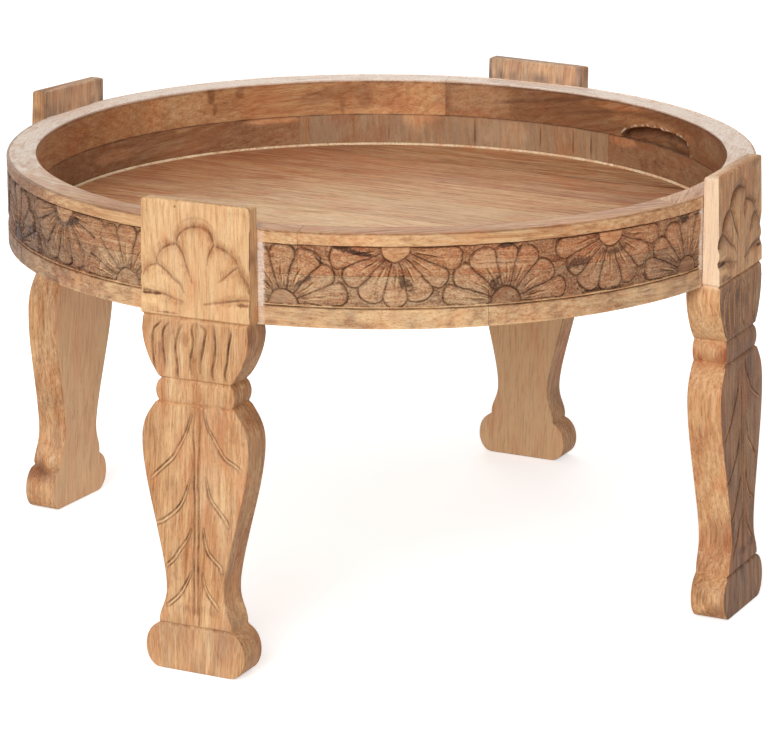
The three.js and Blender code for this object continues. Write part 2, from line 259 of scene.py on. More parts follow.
class Finish(Nodes):
    """One material, with the nodes that woods are made of."""

    def __init__(self, name):
        self.material = bpy.data.materials.new(name)
        super().__init__(self.material)

    def place(self):
        return self.node("ShaderNodeTexCoord", {}, {}, "Object")

    def attribute(self, name, output="Fac"):
        return self.node("ShaderNodeAttribute", {"attribute_name": name}, output=output)

    def ramp(self, factor, stops):
        return self.node("ShaderNodeValToRGB", {"stops": stops}, {"Fac": factor}, "Color")

    def blend(self, factor, under, over, how="MIX"):
        settings = {"data_type": "RGBA", "blend_type": how, "clamp_factor": True}
        return self.node("ShaderNodeMix", settings, {0: factor, 6: under, 7: over}, 2)

    def stretched(self, vector, scale):
        return self.node("ShaderNodeVectorMath", {"operation": "MULTIPLY"}, {0: vector, 1: scale})

    def noise(self, vector, scale, detail, roughness=0.5, distortion=0.0):
        """Noise with a scale for each axis. In woods the first is along the grain."""
        return self.node("ShaderNodeTexNoise", {"normalize": True},
                         {"Vector": self.stretched(vector, scale), "Scale": 1.0, "Detail": detail,
                          "Roughness": roughness, "Distortion": distortion}, "Fac")

    def surface(self, **sockets):
        """Ends the material in one principled shader."""
        shader = self.node("ShaderNodeBsdfPrincipled", {}, {
            name.replace("_", " "): value for name, value in sockets.items()}, "BSDF")
        self.node("ShaderNodeOutputMaterial", {}, {"Surface": shader})
        return self.material


def tint(text):
    """The linear colour of a six-digit sRGB tint."""
    values = [int(text[k:k + 2], 16) / 255 for k in (0, 2, 4)]
    linear = [v / 12.92 if v <= 0.04045 else ((v + 0.055) / 1.055) ** 2.4 for v in values]
    return (*linear, 1.0)


CUT_STAIN_AND_SHADE = tint("46250f")
RED_HEART = tint("b06238")
GREY_WOOD = tint("ac8e72")
RAW_AND_LIT_WOOD = tint("faeadb")
PALE_WOOD = tint("f9cd96")
DARK_WOOD = tint("553018")
ORANGE_WOOD = tint("cf8048")
WAX_PALE = tint("dfbd96")
FLOW_BROWN = tint("b97f50")
FLOW_PALE = tint("f8d8ae")
PEACH = tint("f2b288")


def hardwood(name, tints, grain=None, shine=0.5, red=0.0, grey=0.0, deep=0.0, figure=1.0):
    """Waxed hardwood: growth rings, streaks, soft clouds, fine dark pores, and stained cuts.

    Tints run from the darkest streak to the palest one. Grain makes a vector in metres with the grain
    along X and the pith near the axis. Without it the mesh carries its own grain, tone, cut,
    raw and carved values: cut is stain in cuts with some painted shade, raw is
    pale raw wood with some painted light. A tone's third value is dark above 0 and pale below, and holds
    painted shade and painted highlights as well as the wood's own tone. Carved is 1 where cuts are dirty,
    0 on plain wood and -1 where the wood has no figure at all."""
    f = Finish(name)
    lively = 1.0
    if grain is None:
        carved = f.attribute("carved")
        lively = f.between(carved, -1.0, 0.0)
        grain = f.attribute("grain", "Vector")
        red = f.node("ShaderNodeSeparateXYZ", {}, {0: f.attribute("tone", "Vector")}, "X")
        grey, deep = red.beside("Y"), red.beside("Z")
        marked = True
    else:
        grain = grain(f)
        marked = False
        if figure > 1:
            # the tray's boards, the only wood with so much figure, are browner towards both sides of the
            # tray, a painted shade next to the rim's walls, and redder at its left
            across = f.node("ShaderNodeSeparateXYZ", {}, {0: f.place()}, "X")
            to_left = f.between(across, -0.08, -0.33)
            deep = deep + to_left * 0.36 + f.between(across, 0.1, 0.33) * 0.5
            red = red + to_left * 0.9
    waver = (f.noise(grain, (3.5, 9.0, 9.0), 1.0) - 0.5) * lively
    shift = f.node("ShaderNodeCombineXYZ", {}, {1: waver * 0.03, 2: waver * -0.024})
    bent = f.node("ShaderNodeVectorMath", {"operation": "ADD"}, {0: grain, 1: shift})
    cloud = f.noise(grain, (10.0, 17.0, 17.0), 4.0, 0.62, 0.6)
    band = f.noise(bent, (4.5, 52.0, 52.0), 3.0, 0.6, 0.5)
    streak = f.noise(bent, (7.0, 230.0, 230.0), 4.0, 0.68, 0.15)
    fibre = f.noise(bent, (42.0, 900.0, 900.0), 3.0, 0.7)
    fleck = f.noise(bent, (110.0, 1000.0, 1000.0), 1.0)
    ring = f.node("ShaderNodeTexWave", {"wave_type": "RINGS", "rings_direction": "X", "wave_profile": "SAW"},
                  {"Vector": f.stretched(bent, (0.06, 1.0, 1.0)), "Scale": 55.0, "Distortion": 4.0,
                   "Detail": 3.0, "Detail Scale": 1.4, "Detail Roughness": 0.65}, "Fac")
    value = cloud * 0.24 + band * 0.2 + streak * 0.24 + fibre * 0.24 + (ring - 0.5) * 0.056 + 0.04
    value = (value - 0.49) * lively + 0.49
    colour = f.ramp(f.between(value, 0.39, 0.59), list(zip((0.0, 0.36, 0.66, 1.0), tints)))
    warm = f.noise(grain, (13.0, 22.0, 22.0), 3.0, 0.6, 0.8)
    colour = f.blend(f.between(warm, 0.5, 0.66) * lively * (0.36 * figure), colour, ORANGE_WOOD)
    colour = f.blend(red * f.between(streak + cloud, 0.7, 1.15), colour, RED_HEART)
    colour = f.blend(grey * f.between(band + streak, 0.7, 1.15), colour, GREY_WOOD)
    pores = f.between(fleck, 0.56, 0.68)
    checks = f.between(streak, 0.4, 0.3) * f.between(band, 0.6, 0.35)
    colour = f.blend((pores * 0.3 + checks * 0.4) * lively, colour, DARK_WOOD)
    # below 0: pale wood, painted highlights and painted light
    colour = f.blend(f.between(deep, 0.0, -1.0), colour, PALE_WOOD)
    flow = f.noise(bent, (13.0, 290.0, 290.0), 3.0, 0.62, 0.3)
    glow = f.noise(bent, (14.0, 48.0, 48.0), 3.0, 0.6, 0.6)
    dash = f.noise(bent, (30.0, 560.0, 560.0), 2.0, 0.6)
    colour = f.blend(f.between(flow, 0.47, 0.34) * lively * 0.3, colour, FLOW_PALE)
    colour = f.blend(f.between(glow, 0.5, 0.64) * 0.3, colour, PEACH, "MULTIPLY")
    colour = f.blend(f.between(flow, 0.5, 0.7) * lively * (0.5 * figure), colour, FLOW_BROWN, "MULTIPLY")
    colour = f.blend(f.between(dash, 0.54, 0.7) * lively * 0.45, colour, FLOW_BROWN, "MULTIPLY")
    # above 0: the wood's dark tone and stains, and painted shade
    colour = f.blend(f.between(deep, 0.0, 1.0), colour, DARK_WOOD, "MULTIPLY")
    rough = shine + streak * 0.18 + pores * 0.1
    height = fibre * 0.8 - pores * 0.5 - checks * 0.6 + streak * 0.5
    if marked:
        cut, raw = f.attribute("cut"), f.attribute("raw")
        dirty = f.between(carved, 0.0, 1.0)
        mottle = f.noise(grain, (480.0, 640.0, 640.0), 3.0, 0.75)
        soft = f.noise(grain, (70.0, 110.0, 110.0), 4.0, 0.65)
        waxed = f.between(mottle + soft * 0.3, 0.63, 0.82)
        sooty = f.between(mottle + soft * 0.35, 0.67, 0.47)
        colour = f.blend(dirty * waxed * 0.5, colour, WAX_PALE)
        colour = f.blend(dirty * sooty * 0.7, colour, DARK_WOOD, "MULTIPLY")
        # pale raw wood, and painted light where the mesh carries it
        colour = f.blend(raw * f.between(fibre + mottle, 0.6, 1.05), colour, RAW_AND_LIT_WOOD)
        broken = f.between(mottle + soft, 0.8, 1.2)
        # stain in cuts, and painted shade where the mesh carries it
        colour = f.blend(cut * (1 - broken * 0.3), colour, CUT_STAIN_AND_SHADE)
        rough = rough + cut * 0.15 + raw * 0.2 + dirty * 0.05
        height = height + dirty * mottle * 1.6
    bump = f.node("ShaderNodeBump", {}, {"Strength": 0.6, "Distance": 0.0006, "Height": height})
    return f.surface(Base_Color=colour, Roughness=rough, Normal=bump, Specular_IOR_Level=0.35)


# The rim's frieze of daisies

def polar(angle_degrees, radius, height):
    """Points of the rim, with the angle counted from the front leg towards the right one."""
    angle = np.radians(angle_degrees)
    return np.stack([radius * np.sin(angle), -radius * np.cos(angle), height], axis=-1)


# Half daisies stand on the fillet and hang from the upper band in turn, five to each quarter of the rim
DAISY_ANGLES = [12.6, 28.2, 44.1, 60.8, 77.1]
DISC_RADIUS = 14.2
PETALS = 7
PETAL_EDGES = np.array([-90, -68, -41.5, -14.3, 14.3, 41.5, 68, 90.0])
PETAL_REACHES = np.array([62.5, 57.0, 57.5, 56.0, 57.5, 57.0, 62.5])
TIP_DROP = 9.0
FRIEZE_FOOT = 360.4
FRIEZE_HEAD = 415.4
FILLET = (358.5, 360.0)
FILLET_GROOVE = 357.9
BAND_GROOVE = 415.9
# Daisies that were set out by hand off their places: quarter and number, then degrees
DAISY_SHIFTS = {(3, 2): 1.5, (3, 3): 2.3}


def daisy_row():
    """Each daisy of the frieze: its angle round the rim, its centre's height and which way it grows."""
    chance = np.random.default_rng(11)
    row = []
    for quarter in range(4):
        for number, angle in enumerate(DAISY_ANGLES):
            stands = number % 2 == 0
            place = quarter * 90 + angle + DAISY_SHIFTS.get((quarter, number), 0)
            row.append({
                "angle": place + chance.uniform(-0.2, 0.2),
                "height": FRIEZE_FOOT if stands else FRIEZE_HEAD,
                "way": 1 if stands else -1,
                "edges": PETAL_EDGES + np.append(np.append(0, chance.uniform(-1.6, 1.6, PETALS - 1)), 0),
                "reaches": PETAL_REACHES + chance.uniform(-1.3, 1.0, PETALS),
                "radius": DISC_RADIUS + chance.uniform(-0.6, 0.6),
                "glow": -0.3 if stands else 0.3,
            })
    return row


DAISIES = daisy_row()


def daisy_relief(arc, height, daisy):
    """One half daisy: depth below the band's face, how far inside it a point lies, its cuts and shades."""
    up = (height - daisy["height"]) * daisy["way"]
    away = np.hypot(arc, up) + 1e-6
    lean = np.degrees(np.arctan2(arc, up))
    number = np.clip(np.searchsorted(daisy["edges"], lean) - 1, 0, PETALS - 1)
    left, right = daisy["edges"][number], daisy["edges"][number + 1]
    middle, half = (left + right) / 2, (right - left) / 2
    share = np.clip((lean - middle) / half, -1, 1)
    reach = daisy["reaches"][number]
    width = away * np.radians(half)
    # rounded tips: the edge falls back towards each side of a petal
    body = np.clip(1 - np.abs(share) ** 2.1, 0, 1)
    edge = reach - TIP_DROP * (1 - body ** (1 / 2.1))
    slope = TIP_DROP * np.abs(share) ** 1.1 / np.clip(body, 0.05, 1) ** 0.52 / width
    from_tip = (edge - away) / np.sqrt(1 + np.minimum(slope, 3) ** 2)
    from_side = away * np.sin(np.radians(half)) * (1 - np.abs(share))
    from_disc = away - daisy["radius"]
    in_disc = from_disc < 0
    behind = up < -0.4
    inside = np.where(behind, -9, np.where(in_disc, 9, from_tip))
    across = share * width
    along = fade(away, daisy["radius"] + 3, daisy["radius"] + 9) * fade(away, 0.76 * reach, 0.54 * reach)
    flank = fade(away, daisy["radius"] + 4, daisy["radius"] + 13) * fade(away, reach - 6, reach - 15)
    scoop = hill(np.abs(across) - 0.56 * width, 0.24 * width + 0.6) * flank
    ridge = hill(across - 0.8, 0.75) * along
    near_disc = fade(away, daisy["radius"] + 1, daisy["radius"] + 5) * fade(away, 0.6 * reach, 0.4 * reach)
    ticks = 0.6 * dent(np.abs(across) - 0.45 * width, 0.55) * near_disc
    line = np.maximum(dent(across + 0.5, 0.85) * along, ticks)
    crown = np.clip(np.minimum(from_side, np.minimum(from_tip, from_disc)) / 5.0, 0, 1)
    depth = 1.7 - 1.35 * np.sqrt(crown) + 0.6 * scoop + 0.7 * line - 0.15 * ridge
    groove = np.maximum(dent(from_tip, 1.25), 0.9 * dent(from_side, 0.95) * (from_tip > -0.5))
    groove = np.where(in_disc | behind, 0, groove)
    groove = np.maximum(groove, dent(from_disc, 1.15) * ~behind)
    depth = np.where(in_disc, 1.7 - 1.35 * np.sqrt(np.clip(-from_disc / 7, 0, 1)), depth)
    echo = dent(from_tip + 3.4, 0.8) * (np.abs(share) < 0.85) * (up > 0)
    # painted shade near each petal's edges and round its disc
    edge_shade = 0.32 * (1 - fade(np.minimum(from_side, from_tip), 0, 3.5))
    shade = np.maximum(edge_shade, 0.4 * fade(from_disc, 13, 1)) * ~in_disc
    return {"depth": depth, "inside": inside, "groove": groove, "echo": echo, "line": line * ~in_disc,
            "ridge": ridge * ~in_disc, "shade": shade, "disc": in_disc & ~behind}


# Dark stains of the frieze: angle, height, half length along the arc, half height, rise and strength
FRIEZE_STAINS = [
    (20.7, 414.6, 11, 1.6, -0.1, 0.95), (23.1, 410.2, 15, 2.2, -0.17, 1.0), (17.8, 401.3, 6, 2.2, -0.9, 0.9),
    (15.4, 382.3, 8, 3.5, 0.5, 0.6), (29.7, 382.3, 8, 6, -0.6, 0.65), (42.5, 379, 5, 9, 0, 0.6),
    (55.5, 391.5, 15, 6, 0.15, 0.6), (61.8, 396.5, 19, 3.5, 0.0, 0.5), (44.2, 414.5, 8, 2.6, 0.1, 0.8),
    (76.0, 411.5, 7, 3.5, 0.3, 0.85), (60, 361, 30, 2.5, 0, 0.6), (335, 405, 12, 5, 0.3, 0.7),
    (322, 378, 12, 8, 0.2, 0.6), (300, 408, 16, 5, -0.2, 0.75), (110, 400, 18, 6, 0.2, 0.7),
    (205, 412, 14, 3, -0.1, 0.8), (248, 380, 12, 9, 0.3, 0.6),
]


def frieze_stain(angle, height):
    """How much smoke and wax darken a point of the frieze, from 0 to 1."""
    total = np.zeros_like(angle)
    for middle, level, long_half, high_half, rise, strength in FRIEZE_STAINS:
        arc = np.radians(wrapped(angle - middle)) * RIM_RADIUS
        if np.abs(arc).min() > 60:
            continue
        far = np.hypot(arc / long_half, (height - level - rise * arc) / high_half)
        far = far + 0.35 * uneven(arc, height, 3.5, 61) + 0.25 * uneven(arc, height, 1.3, 62)
        total = np.maximum(total, strength * fade(far, 1.15, 0.55))
    return total


def frieze_relief(angle, height):
    """Depth below the band's face, and cut, carved, pale_highlight and shade values over the rim's outer
    face; the highlights are painted, the shade is painted shade and stain.
    """
    arc = np.radians(angle) * RIM_RADIUS
    arc_moved = arc + 1.1 * uneven(arc, height, 17, 3) + 0.5 * uneven(arc, height, 5, 4)
    height_moved = height + 0.8 * uneven(arc, height, 15, 5) + 0.4 * uneven(arc, height, 5, 6)
    depth = 2.5 + 0.35 * uneven(arc, height, 2.1, 7) + 0.45 * uneven(arc, height, 7, 8)
    deepest = np.zeros_like(depth)
    groove = np.zeros_like(depth)
    pale_highlight = np.zeros_like(depth)
    shade = np.full_like(depth, 0.16)
    carved = np.full_like(depth, 0.9)
    for daisy in DAISIES:
        apart = wrapped(angle - daisy["angle"])
        near = np.abs(apart) < 12
        if not near.any():
            continue
        arc_here = np.where(near, np.radians(apart) * RIM_RADIUS + arc_moved - arc, 200.0)
        own = daisy_relief(arc_here, height_moved, daisy)
        wins = own["inside"] > deepest
        depth = np.where(wins, own["depth"], depth)
        # painted highlight along each petal's ridge; discs paler or darker by their glow
        pale_highlight = np.where(wins, 0.7 * own["ridge"] + daisy["glow"] * own["disc"], pale_highlight)
        shade = np.where(wins, own["shade"], shade)
        carved = np.where(wins, np.where(own["disc"], 0.12, 0.75), carved)
        kept = np.where(wins, 0.15, 1.0) * groove
        fresh = np.maximum(own["groove"], np.where(wins, 0.85 * own["line"], 0.35 * own["echo"]))
        groove = np.where(deepest > 1.0, np.where(wins, fresh, groove), np.maximum(kept, fresh))
        deepest = np.maximum(deepest, own["inside"])
    on_ground = deepest <= 0
    strength = 0.9 + 0.45 * uneven(arc, height, 9, 12) + 0.2 * uneven(arc, height, 3, 19)
    strength = np.clip(strength, 0.4, 1.3)
    depth = depth + 1.5 * groove * (0.6 + 0.4 * strength)
    cut = np.where(on_ground, 0.06 + 0.28 * np.clip(uneven(arc, height, 2.4, 9), 0, 1), 0.0)
    cut = np.maximum(cut, groove * strength)
    stain = frieze_stain(angle, height)
    cut = np.clip(np.maximum(cut, stain), 0, 1)
    shade = np.maximum(shade, stain)
    # plain bands, with the groove under the upper one, and the fillet and groove over the lower one
    wobble = 0.25 * uneven(arc, height * 0, 25, 14) + 0.15 * uneven(arc, height * 0, 6, 13)
    upper = height > UPPER_BAND_FOOT + wobble
    lower = height < LOWER_BAND_HEAD + 0.3 + wobble
    fillet = (height > FILLET[0] + wobble) & (height < FILLET[1] + wobble)
    plain = 0.16 * uneven(arc, height, 14, 15) + 0.16
    depth = np.where(fillet, 0.5 + 0.3 * uneven(arc, height * 0, 12, 16), depth)
    depth = np.where(upper | lower, plain, depth)
    smooth = upper | lower | fillet
    cut = np.where(smooth, 0, cut)
    shade = np.where(smooth, 0, shade)
    # painted highlight along the fillet
    pale_highlight = np.where(fillet, 0.7 + 0.3 * uneven(arc, height * 0, 9, 20), np.where(smooth, 0, pale_highlight))
    carved = np.where(smooth, np.where(lower, 0.4, 0.2), carved)
    under_band = dent(height - BAND_GROOVE - wobble, 0.95) * (0.8 + 0.35 * uneven(arc, height * 0, 13, 17))
    under_fillet = dent(height - FILLET_GROOVE - wobble, 0.8) * (0.6 + 0.5 * uneven(arc, height * 0, 17, 18))
    lines = np.clip(np.maximum(under_band, under_fillet), 0, 1)
    return depth + 1.4 * lines, np.maximum(cut, lines * 0.9), carved, pale_highlight, shade


def left_shade_and_rub(angle):
    """Painted shade over the rim's outer face left of the front leg, where less light falls; the same share
    rubs its cuts paler.
    """
    return fade(wrapped(angle), -12, -42) * fade(wrapped(angle), -120, -80)


def painted_rim_sheen(angle):
    """Where a painted sheen pales the rim's top in place of a reflection of the bright surroundings: all of
    it apart from the front and the right.
    """
    return fade(np.abs(wrapped(angle - 210)), 142, 76)


def seat_distance(angle, radius):
    """How far along the rim a point lies from the nearest leg's middle, and its angle from it."""
    places = np.stack([wrapped(angle - 90 * quarter - turn) for quarter, turn in enumerate(LEG_TURNS)])
    apart = np.take_along_axis(places, np.abs(places).argmin(axis=0)[None], axis=0)[0]
    return np.abs(np.sin(np.radians(apart)) * radius), apart


# The rim's blocks

# Red, grey and dark of each block, outside and on the tray's wall
OUTER_TONES = {
    "upper": [(0.8, 0.0, -0.1), (0.5, 0.1, 0.05), (0.2, 0.3, 0.05), (0.6, 0.0, 0.1), (0.45, 0.1, 0.1),
              (0.25, 0.3, 0.0)],
    "lower": [(0.5, 0.1, 0.05), (0.2, 0.3, 0.05), (0.4, 0.2, 0.1), (0.1, 0.4, 0.1), (0.4, 0.1, 0.1),
              (0.05, 0.4, -0.1)],
}
WALL_TONES = {
    "upper": [(0.5, 0.1, 0.4), (0.4, 0.1, 0.58), (0.4, 0.05, 0.62), (0.2, 0.05, 0.2), (0.2, 0.1, 0.15),
              (0.2, 0.3, 0.1)],
    "lower": [(0.5, 0.1, 0.4), (0.3, 0.15, 0.5), (0.0, 0.7, 0.3), (0.35, 0.0, 0.46), (0.3, 0.2, 0.3),
              (0.1, 0.5, 0.1)],
}
# How the figure runs on some blocks' inner faces, in degrees off the seam; past the limit it stands up
WALL_FIGURES = {("upper", 2): -8, ("upper", 3): -13, ("upper", 4): -6, ("upper", 5): 4,
                ("lower", 2): 3, ("lower", 3): 84, ("lower", 4): -3}
STEEP_FIGURE = 45
# Patches of other colour on the inner wall: angle, height, half lengths, rise per degree, red, grey and dark
WALL_PATCHES = [
    (244.5, 409, 4.6, 24, 0, 0.0, 0.35, 0.0), (251.5, 409, 3.0, 20, 0, 0.4, 0.0, 0.0),
    (238.6, 419, 0.9, 13, 1.0, 0.4, 0.0, 0.55), (238.0, 403, 0.6, 8, -1.0, 0.4, 0.0, 0.45),
    (232.9, 418, 1.0, 5, 0, 0.4, 0.0, 0.45), (216.0, 412, 7.0, 9, -1.2, 0.3, 0.0, 0.4),
    (199.0, 402, 5.0, 30, 0, 0.2, 0.0, 0.0), (204.0, 392, 14.0, 4, 0, 0.2, 0.0, -0.05),
    (209.4, 409, 1.6, 16, -1.5, 0.4, 0.0, 0.4), (204.2, 408, 0.6, 17, -0.9, 0.2, 0.0, 0.2),
    (201.6, 410, 0.5, 17, -0.9, 0.2, 0.0, 0.12), (198.2, 409, 0.5, 17, -0.8, 0.2, 0.0, 0.1),
    (213.5, 403, 0.6, 15, -1.8, 0.3, 0.0, 0.4),
    (189.0, 406, 7.0, 30, 0, 0.1, 0.35, 0.32), (174.0, 416, 12.0, 3.2, -0.8, 0.2, 0.1, 0.75),
    (166.0, 409, 8.0, 2.2, -0.9, 0.3, 0.0, 0.75), (159.0, 421, 8.0, 5, -0.4, 0.7, 0.0, 0.3),
    (148.3, 408, 12.5, 8, 0, 0.3, 0.0, 0.4), (128.0, 409, 5.5, 14, 0, 0.1, 0.3, 0.5),
    (227.5, 385, 5.5, 4, 0, 0.7, 0.0, -0.25), (158.0, 384, 4.0, 6, 0, 0.6, 0.0, 0.15),
    (165.5, 371, 0.22, 15, 0.02, 0.1, 0.2, 0.8), (169.4, 370, 0.2, 15, -0.01, 0.1, 0.2, 0.75),
    (176.3, 373, 0.18, 14, 0.01, 0.1, 0.2, 0.7), (189.1, 370, 0.22, 15, 0.01, 0.1, 0.2, 0.8),
    (195.5, 374, 0.16, 12, 0.01, 0.1, 0.2, 0.65), (205.0, 368, 0.18, 10, -0.01, 0.1, 0.2, 0.6),
    (182.5, 371, 4.5, 16, 0, 0.0, 0.8, 0.1), (194.0, 373, 4.0, 16, 0, 0.0, 0.9, 0.3),
    (246.0, 368, 9.0, 5, 0.3, 0.3, 0.0, 0.4), (262.0, 372, 6.0, 6, 0, 0.4, 0.0, 0.2),
]
# The hollow that bark left in the wall: its block, the middle and half length in degrees, foot and rise
BARK_BLOCK = ("upper", 3)
BARK_MIDDLE = 148.3
BARK_HALF = 10.3
BARK_FOOT = 388
BARK_RISE = 19


def paint_patches(tone, angle, height, is_wall):
    """Paints the wall's patches over the tones that its blocks have."""
    for middle, level, long_half, high_half, rise, red, grey, dark in WALL_PATCHES:
        apart = wrapped(angle - middle)
        far = np.hypot(apart / long_half, (height - level - rise * apart) / high_half)
        far = far + 0.25 * uneven(angle * 6, height, 11, 51)
        share = fade(far, 1.2, 0.5) * is_wall
        for k, amount in enumerate((red, grey, dark)):
            tone[..., k] += share * (amount - tone[..., k])


def wall_figure(figure, angle, height):
    """Grain of a block's inner face that is turned in the face."""
    along, up = np.radians(angle) * WALL_RADIUS, height - COURSE_SEAM
    turn = math.radians(figure)
    soft = 0.6 if figure > STEEP_FIGURE else 0.8
    return np.stack([(along * math.cos(turn) + up * math.sin(turn)) / soft, up * 0,
                     (up * math.cos(turn) - along * math.sin(turn)) * soft], axis=-1) * MM


def bark_void(angle, height):
    """How deep in the bark's hollow a point lies, how much on its lip, and how low in it."""
    along = (angle - BARK_MIDDLE) / BARK_HALF
    bow = np.clip(1 - np.abs(along) ** np.where(along > 0, 2, 6), 0, 1)
    top = BARK_FOOT + BARK_RISE * np.sqrt(bow) + 0.9 * uneven(angle * 6, height * 0, 7, 21)
    hollow = np.clip((top - height) / 2.0, 0, 1) * fade(np.abs(along), 1.0, 0.95)
    lip = hill(height - top - 1.3, 1.2) * fade(np.abs(along), 1.1, 0.95)
    return hollow, lip * fade(uneven(angle * 6, height, 3.4, 22), 0.1, 0.5), fade(top - height, 4, 13)


def block_profile(course):
    """A block's profile: setbacks and heights of its outer face, then radii and heights of the rest."""
    if course == "upper":
        base, head = COURSE_SEAM + GLUE_GAP, RIM_TOP
        edge = head - TOP_ROUNDING
        outer = [(0, z) for z in np.linspace(base, edge, int((edge - base) / FRIEZE_STEP))]
        outer += [(TOP_ROUNDING - TOP_ROUNDING * math.cos(a), edge + TOP_ROUNDING * math.sin(a))
                  for a in np.radians(np.linspace(15, 90, 6))]
        inner = [(r, head) for r in np.linspace(RIM_RADIUS - 3.2, WALL_RADIUS + 2.2, 20)]
        inner += [(WALL_RADIUS + WALL_EASING - WALL_EASING * math.sin(a),
                   head - WALL_EASING + WALL_EASING * math.cos(a)) for a in np.radians([0, 30, 60, 90])]
        inner += [(WALL_RADIUS, z) for z in np.linspace(head - 2 * WALL_EASING, base, 34)]
    else:
        base, head = RIM_UNDERSIDE, COURSE_SEAM
        outer = [(1, base), (0.3, base + 0.3)]
        outer += [(0, z) for z in np.linspace(base + 1, head, int((head - 1 - base) / FRIEZE_STEP))]
        inner = [(WALL_RADIUS, z) for z in np.linspace(head, REBATE_TOP, 30)]
        inner += [(REBATE_RADIUS, REBATE_TOP), (REBATE_RADIUS, base)]
        inner += [(r, base) for r in np.linspace(REBATE_RADIUS + 3, RIM_RADIUS - 3, 5)]
    return np.array(outer), np.array(inner)


def outer_face(angle, height, setback, course):
    """The carved outer face of a block: its radius, and its cut, raw, carved and shade values; the shade is
    painted shade and stain.
    """
    depth, cut, carved, pale_highlight, shade = frieze_relief(angle, height)
    # beside the legs the face is plain, and raw where it was planed flat for them
    beside, apart = seat_distance(angle, RIM_RADIUS)
    plain = fade(beside, 62.6, 61.2)
    depth = depth * (1 - plain) + 0.05 * plain
    cut = cut * (1 - plain)
    round_over = (height > RIM_TOP - 2.6) | (height < RIM_UNDERSIDE + 0.9)
    depth = np.where(round_over, depth * 0.6, depth)
    radius = RIM_RADIUS - setback - depth
    flat = SEAT_RADIUS / np.cos(np.radians(apart))
    fuzz = 0.5 * uneven(height, beside, 2.2, 33)
    raw = np.where(radius > flat, 0.75, 0) * fade(beside, 62.4 - fuzz, 60.5 - fuzz)
    raw = np.maximum(raw, 0.7 * fade(beside, 63.2 - fuzz, 61.6 - fuzz) * (height < RIM_TOP - 1))
    on_band = (height > UPPER_BAND_FOOT) | (height < LOWER_BAND_HEAD)
    raw = raw * np.where(on_band, 0.45, 1)
    # painted sheen along the top of the outer face, as pale wood
    raw = np.maximum(raw, painted_rim_sheen(angle) * (height > RIM_TOP - 1.4) * 0.5)
    islands = np.clip(uneven(angle * 6.5 + 1.5, height + 1.2, 4, 34) * 2 - 0.3, 0, 1)
    raw = np.maximum(raw, 0.55 * (left_shade_and_rub(angle) * (cut > 0.25) * islands) * (1 - plain))
    if course == "upper":
        arris = dent(height - (RIM_TOP - 1.0), 1.1) * 0.8 * (0.7 + 0.3 * uneven(angle * 6, height, 12, 31))
        cut = np.maximum(cut, arris * (1 - plain) * (1 - painted_rim_sheen(angle)))
    return np.minimum(radius, flat), cut, raw, carved * (1 - plain), (shade - 0.8 * pale_highlight) * (1 - plain)


def inner_face(angle, radius, height, has_void):
    """The top, the wall and the underside of a block: radius and height, and cut and raw values, with
    painted shade under the inner arris and in the bark's hollow, and a painted sheen on the top.
    """
    on_wall = radius < WALL_RADIUS + 0.01
    arc = np.radians(angle) * WALL_RADIUS
    ripple = 0.22 * uneven(arc, height, 31, 41) + 0.12 * uneven(arc, height, 9, 42)
    outward = np.clip((radius - WALL_RADIUS) / (RIM_RADIUS - WALL_RADIUS), 0, 1)
    crown = 0.9 * outward ** 2 + 0.25 * (1 - outward) ** 4
    sunk = crown + 0.12 + 0.12 * uneven(arc, radius, 22, 43)
    height = height - (height > RIM_TOP - 0.01) * sunk
    radius = radius + on_wall * (0.35 + ripple)
    patchy = 0.6 + 0.5 * uneven(arc, height, 14, 47)
    # a painted shade line just under the top's inner arris; the line at the course seam is the glue line
    cut = 0.75 * hill(height - RIM_TOP + 3.4, 0.9) * patchy * (radius < WALL_RADIUS + 1.6)
    cut = np.maximum(cut, 0.8 * on_wall * hill(height - COURSE_SEAM, 0.8) * patchy)
    # painted sheen on the rim's top, as pale wood
    glow = painted_rim_sheen(angle) * (1.15 + 0.6 * uneven(arc * 0.3, radius, 4, 45))
    raw = np.clip((height > RIM_TOP - 3) * glow, 0, 1)
    if has_void:
        hollow, lip, low_part = bark_void(angle, height)
        hollow, lip = hollow * on_wall, lip * on_wall
        rough = 1 + 0.12 * uneven(arc, height * 3, 12, 44)
        radius = radius + (9.5 - 4.0 * low_part) * hollow * rough - 0.3 * lip
        # painted shadow in the bark's hollow, darkest just under its lip
        stain_and_shade = 0.7 - 0.55 * low_part * (0.8 + 0.4 * uneven(arc, height * 4, 9, 46))
        cut = cut * (1 - hollow) + stain_and_shade * fade(hollow, 0.1, 0.6)
        raw = np.maximum(raw, 0.6 * lip)
    return radius, height, cut, raw


def block_grain(points, middle, chance):
    """Grain of the straight plank that a block is sawn from, and where in it the block lies."""
    along = np.array([math.cos(middle), math.sin(middle), 0])
    outward = np.array([math.sin(middle), -math.cos(middle), 0])
    shift = np.array([chance.uniform(-3, 3), chance.uniform(0.04, 0.16), chance.uniform(-0.08, 0.08)])
    tilt = chance.uniform(-0.05, 0.05)
    gx = points @ along * MM
    gy = (points @ outward - WALL_RADIUS) * MM
    gz = (points[..., 2] - COURSE_SEAM) * MM
    return np.stack([gx + gz * tilt * 2, gy + gx * tilt, gz + gx * tilt], axis=-1) + shift, shift


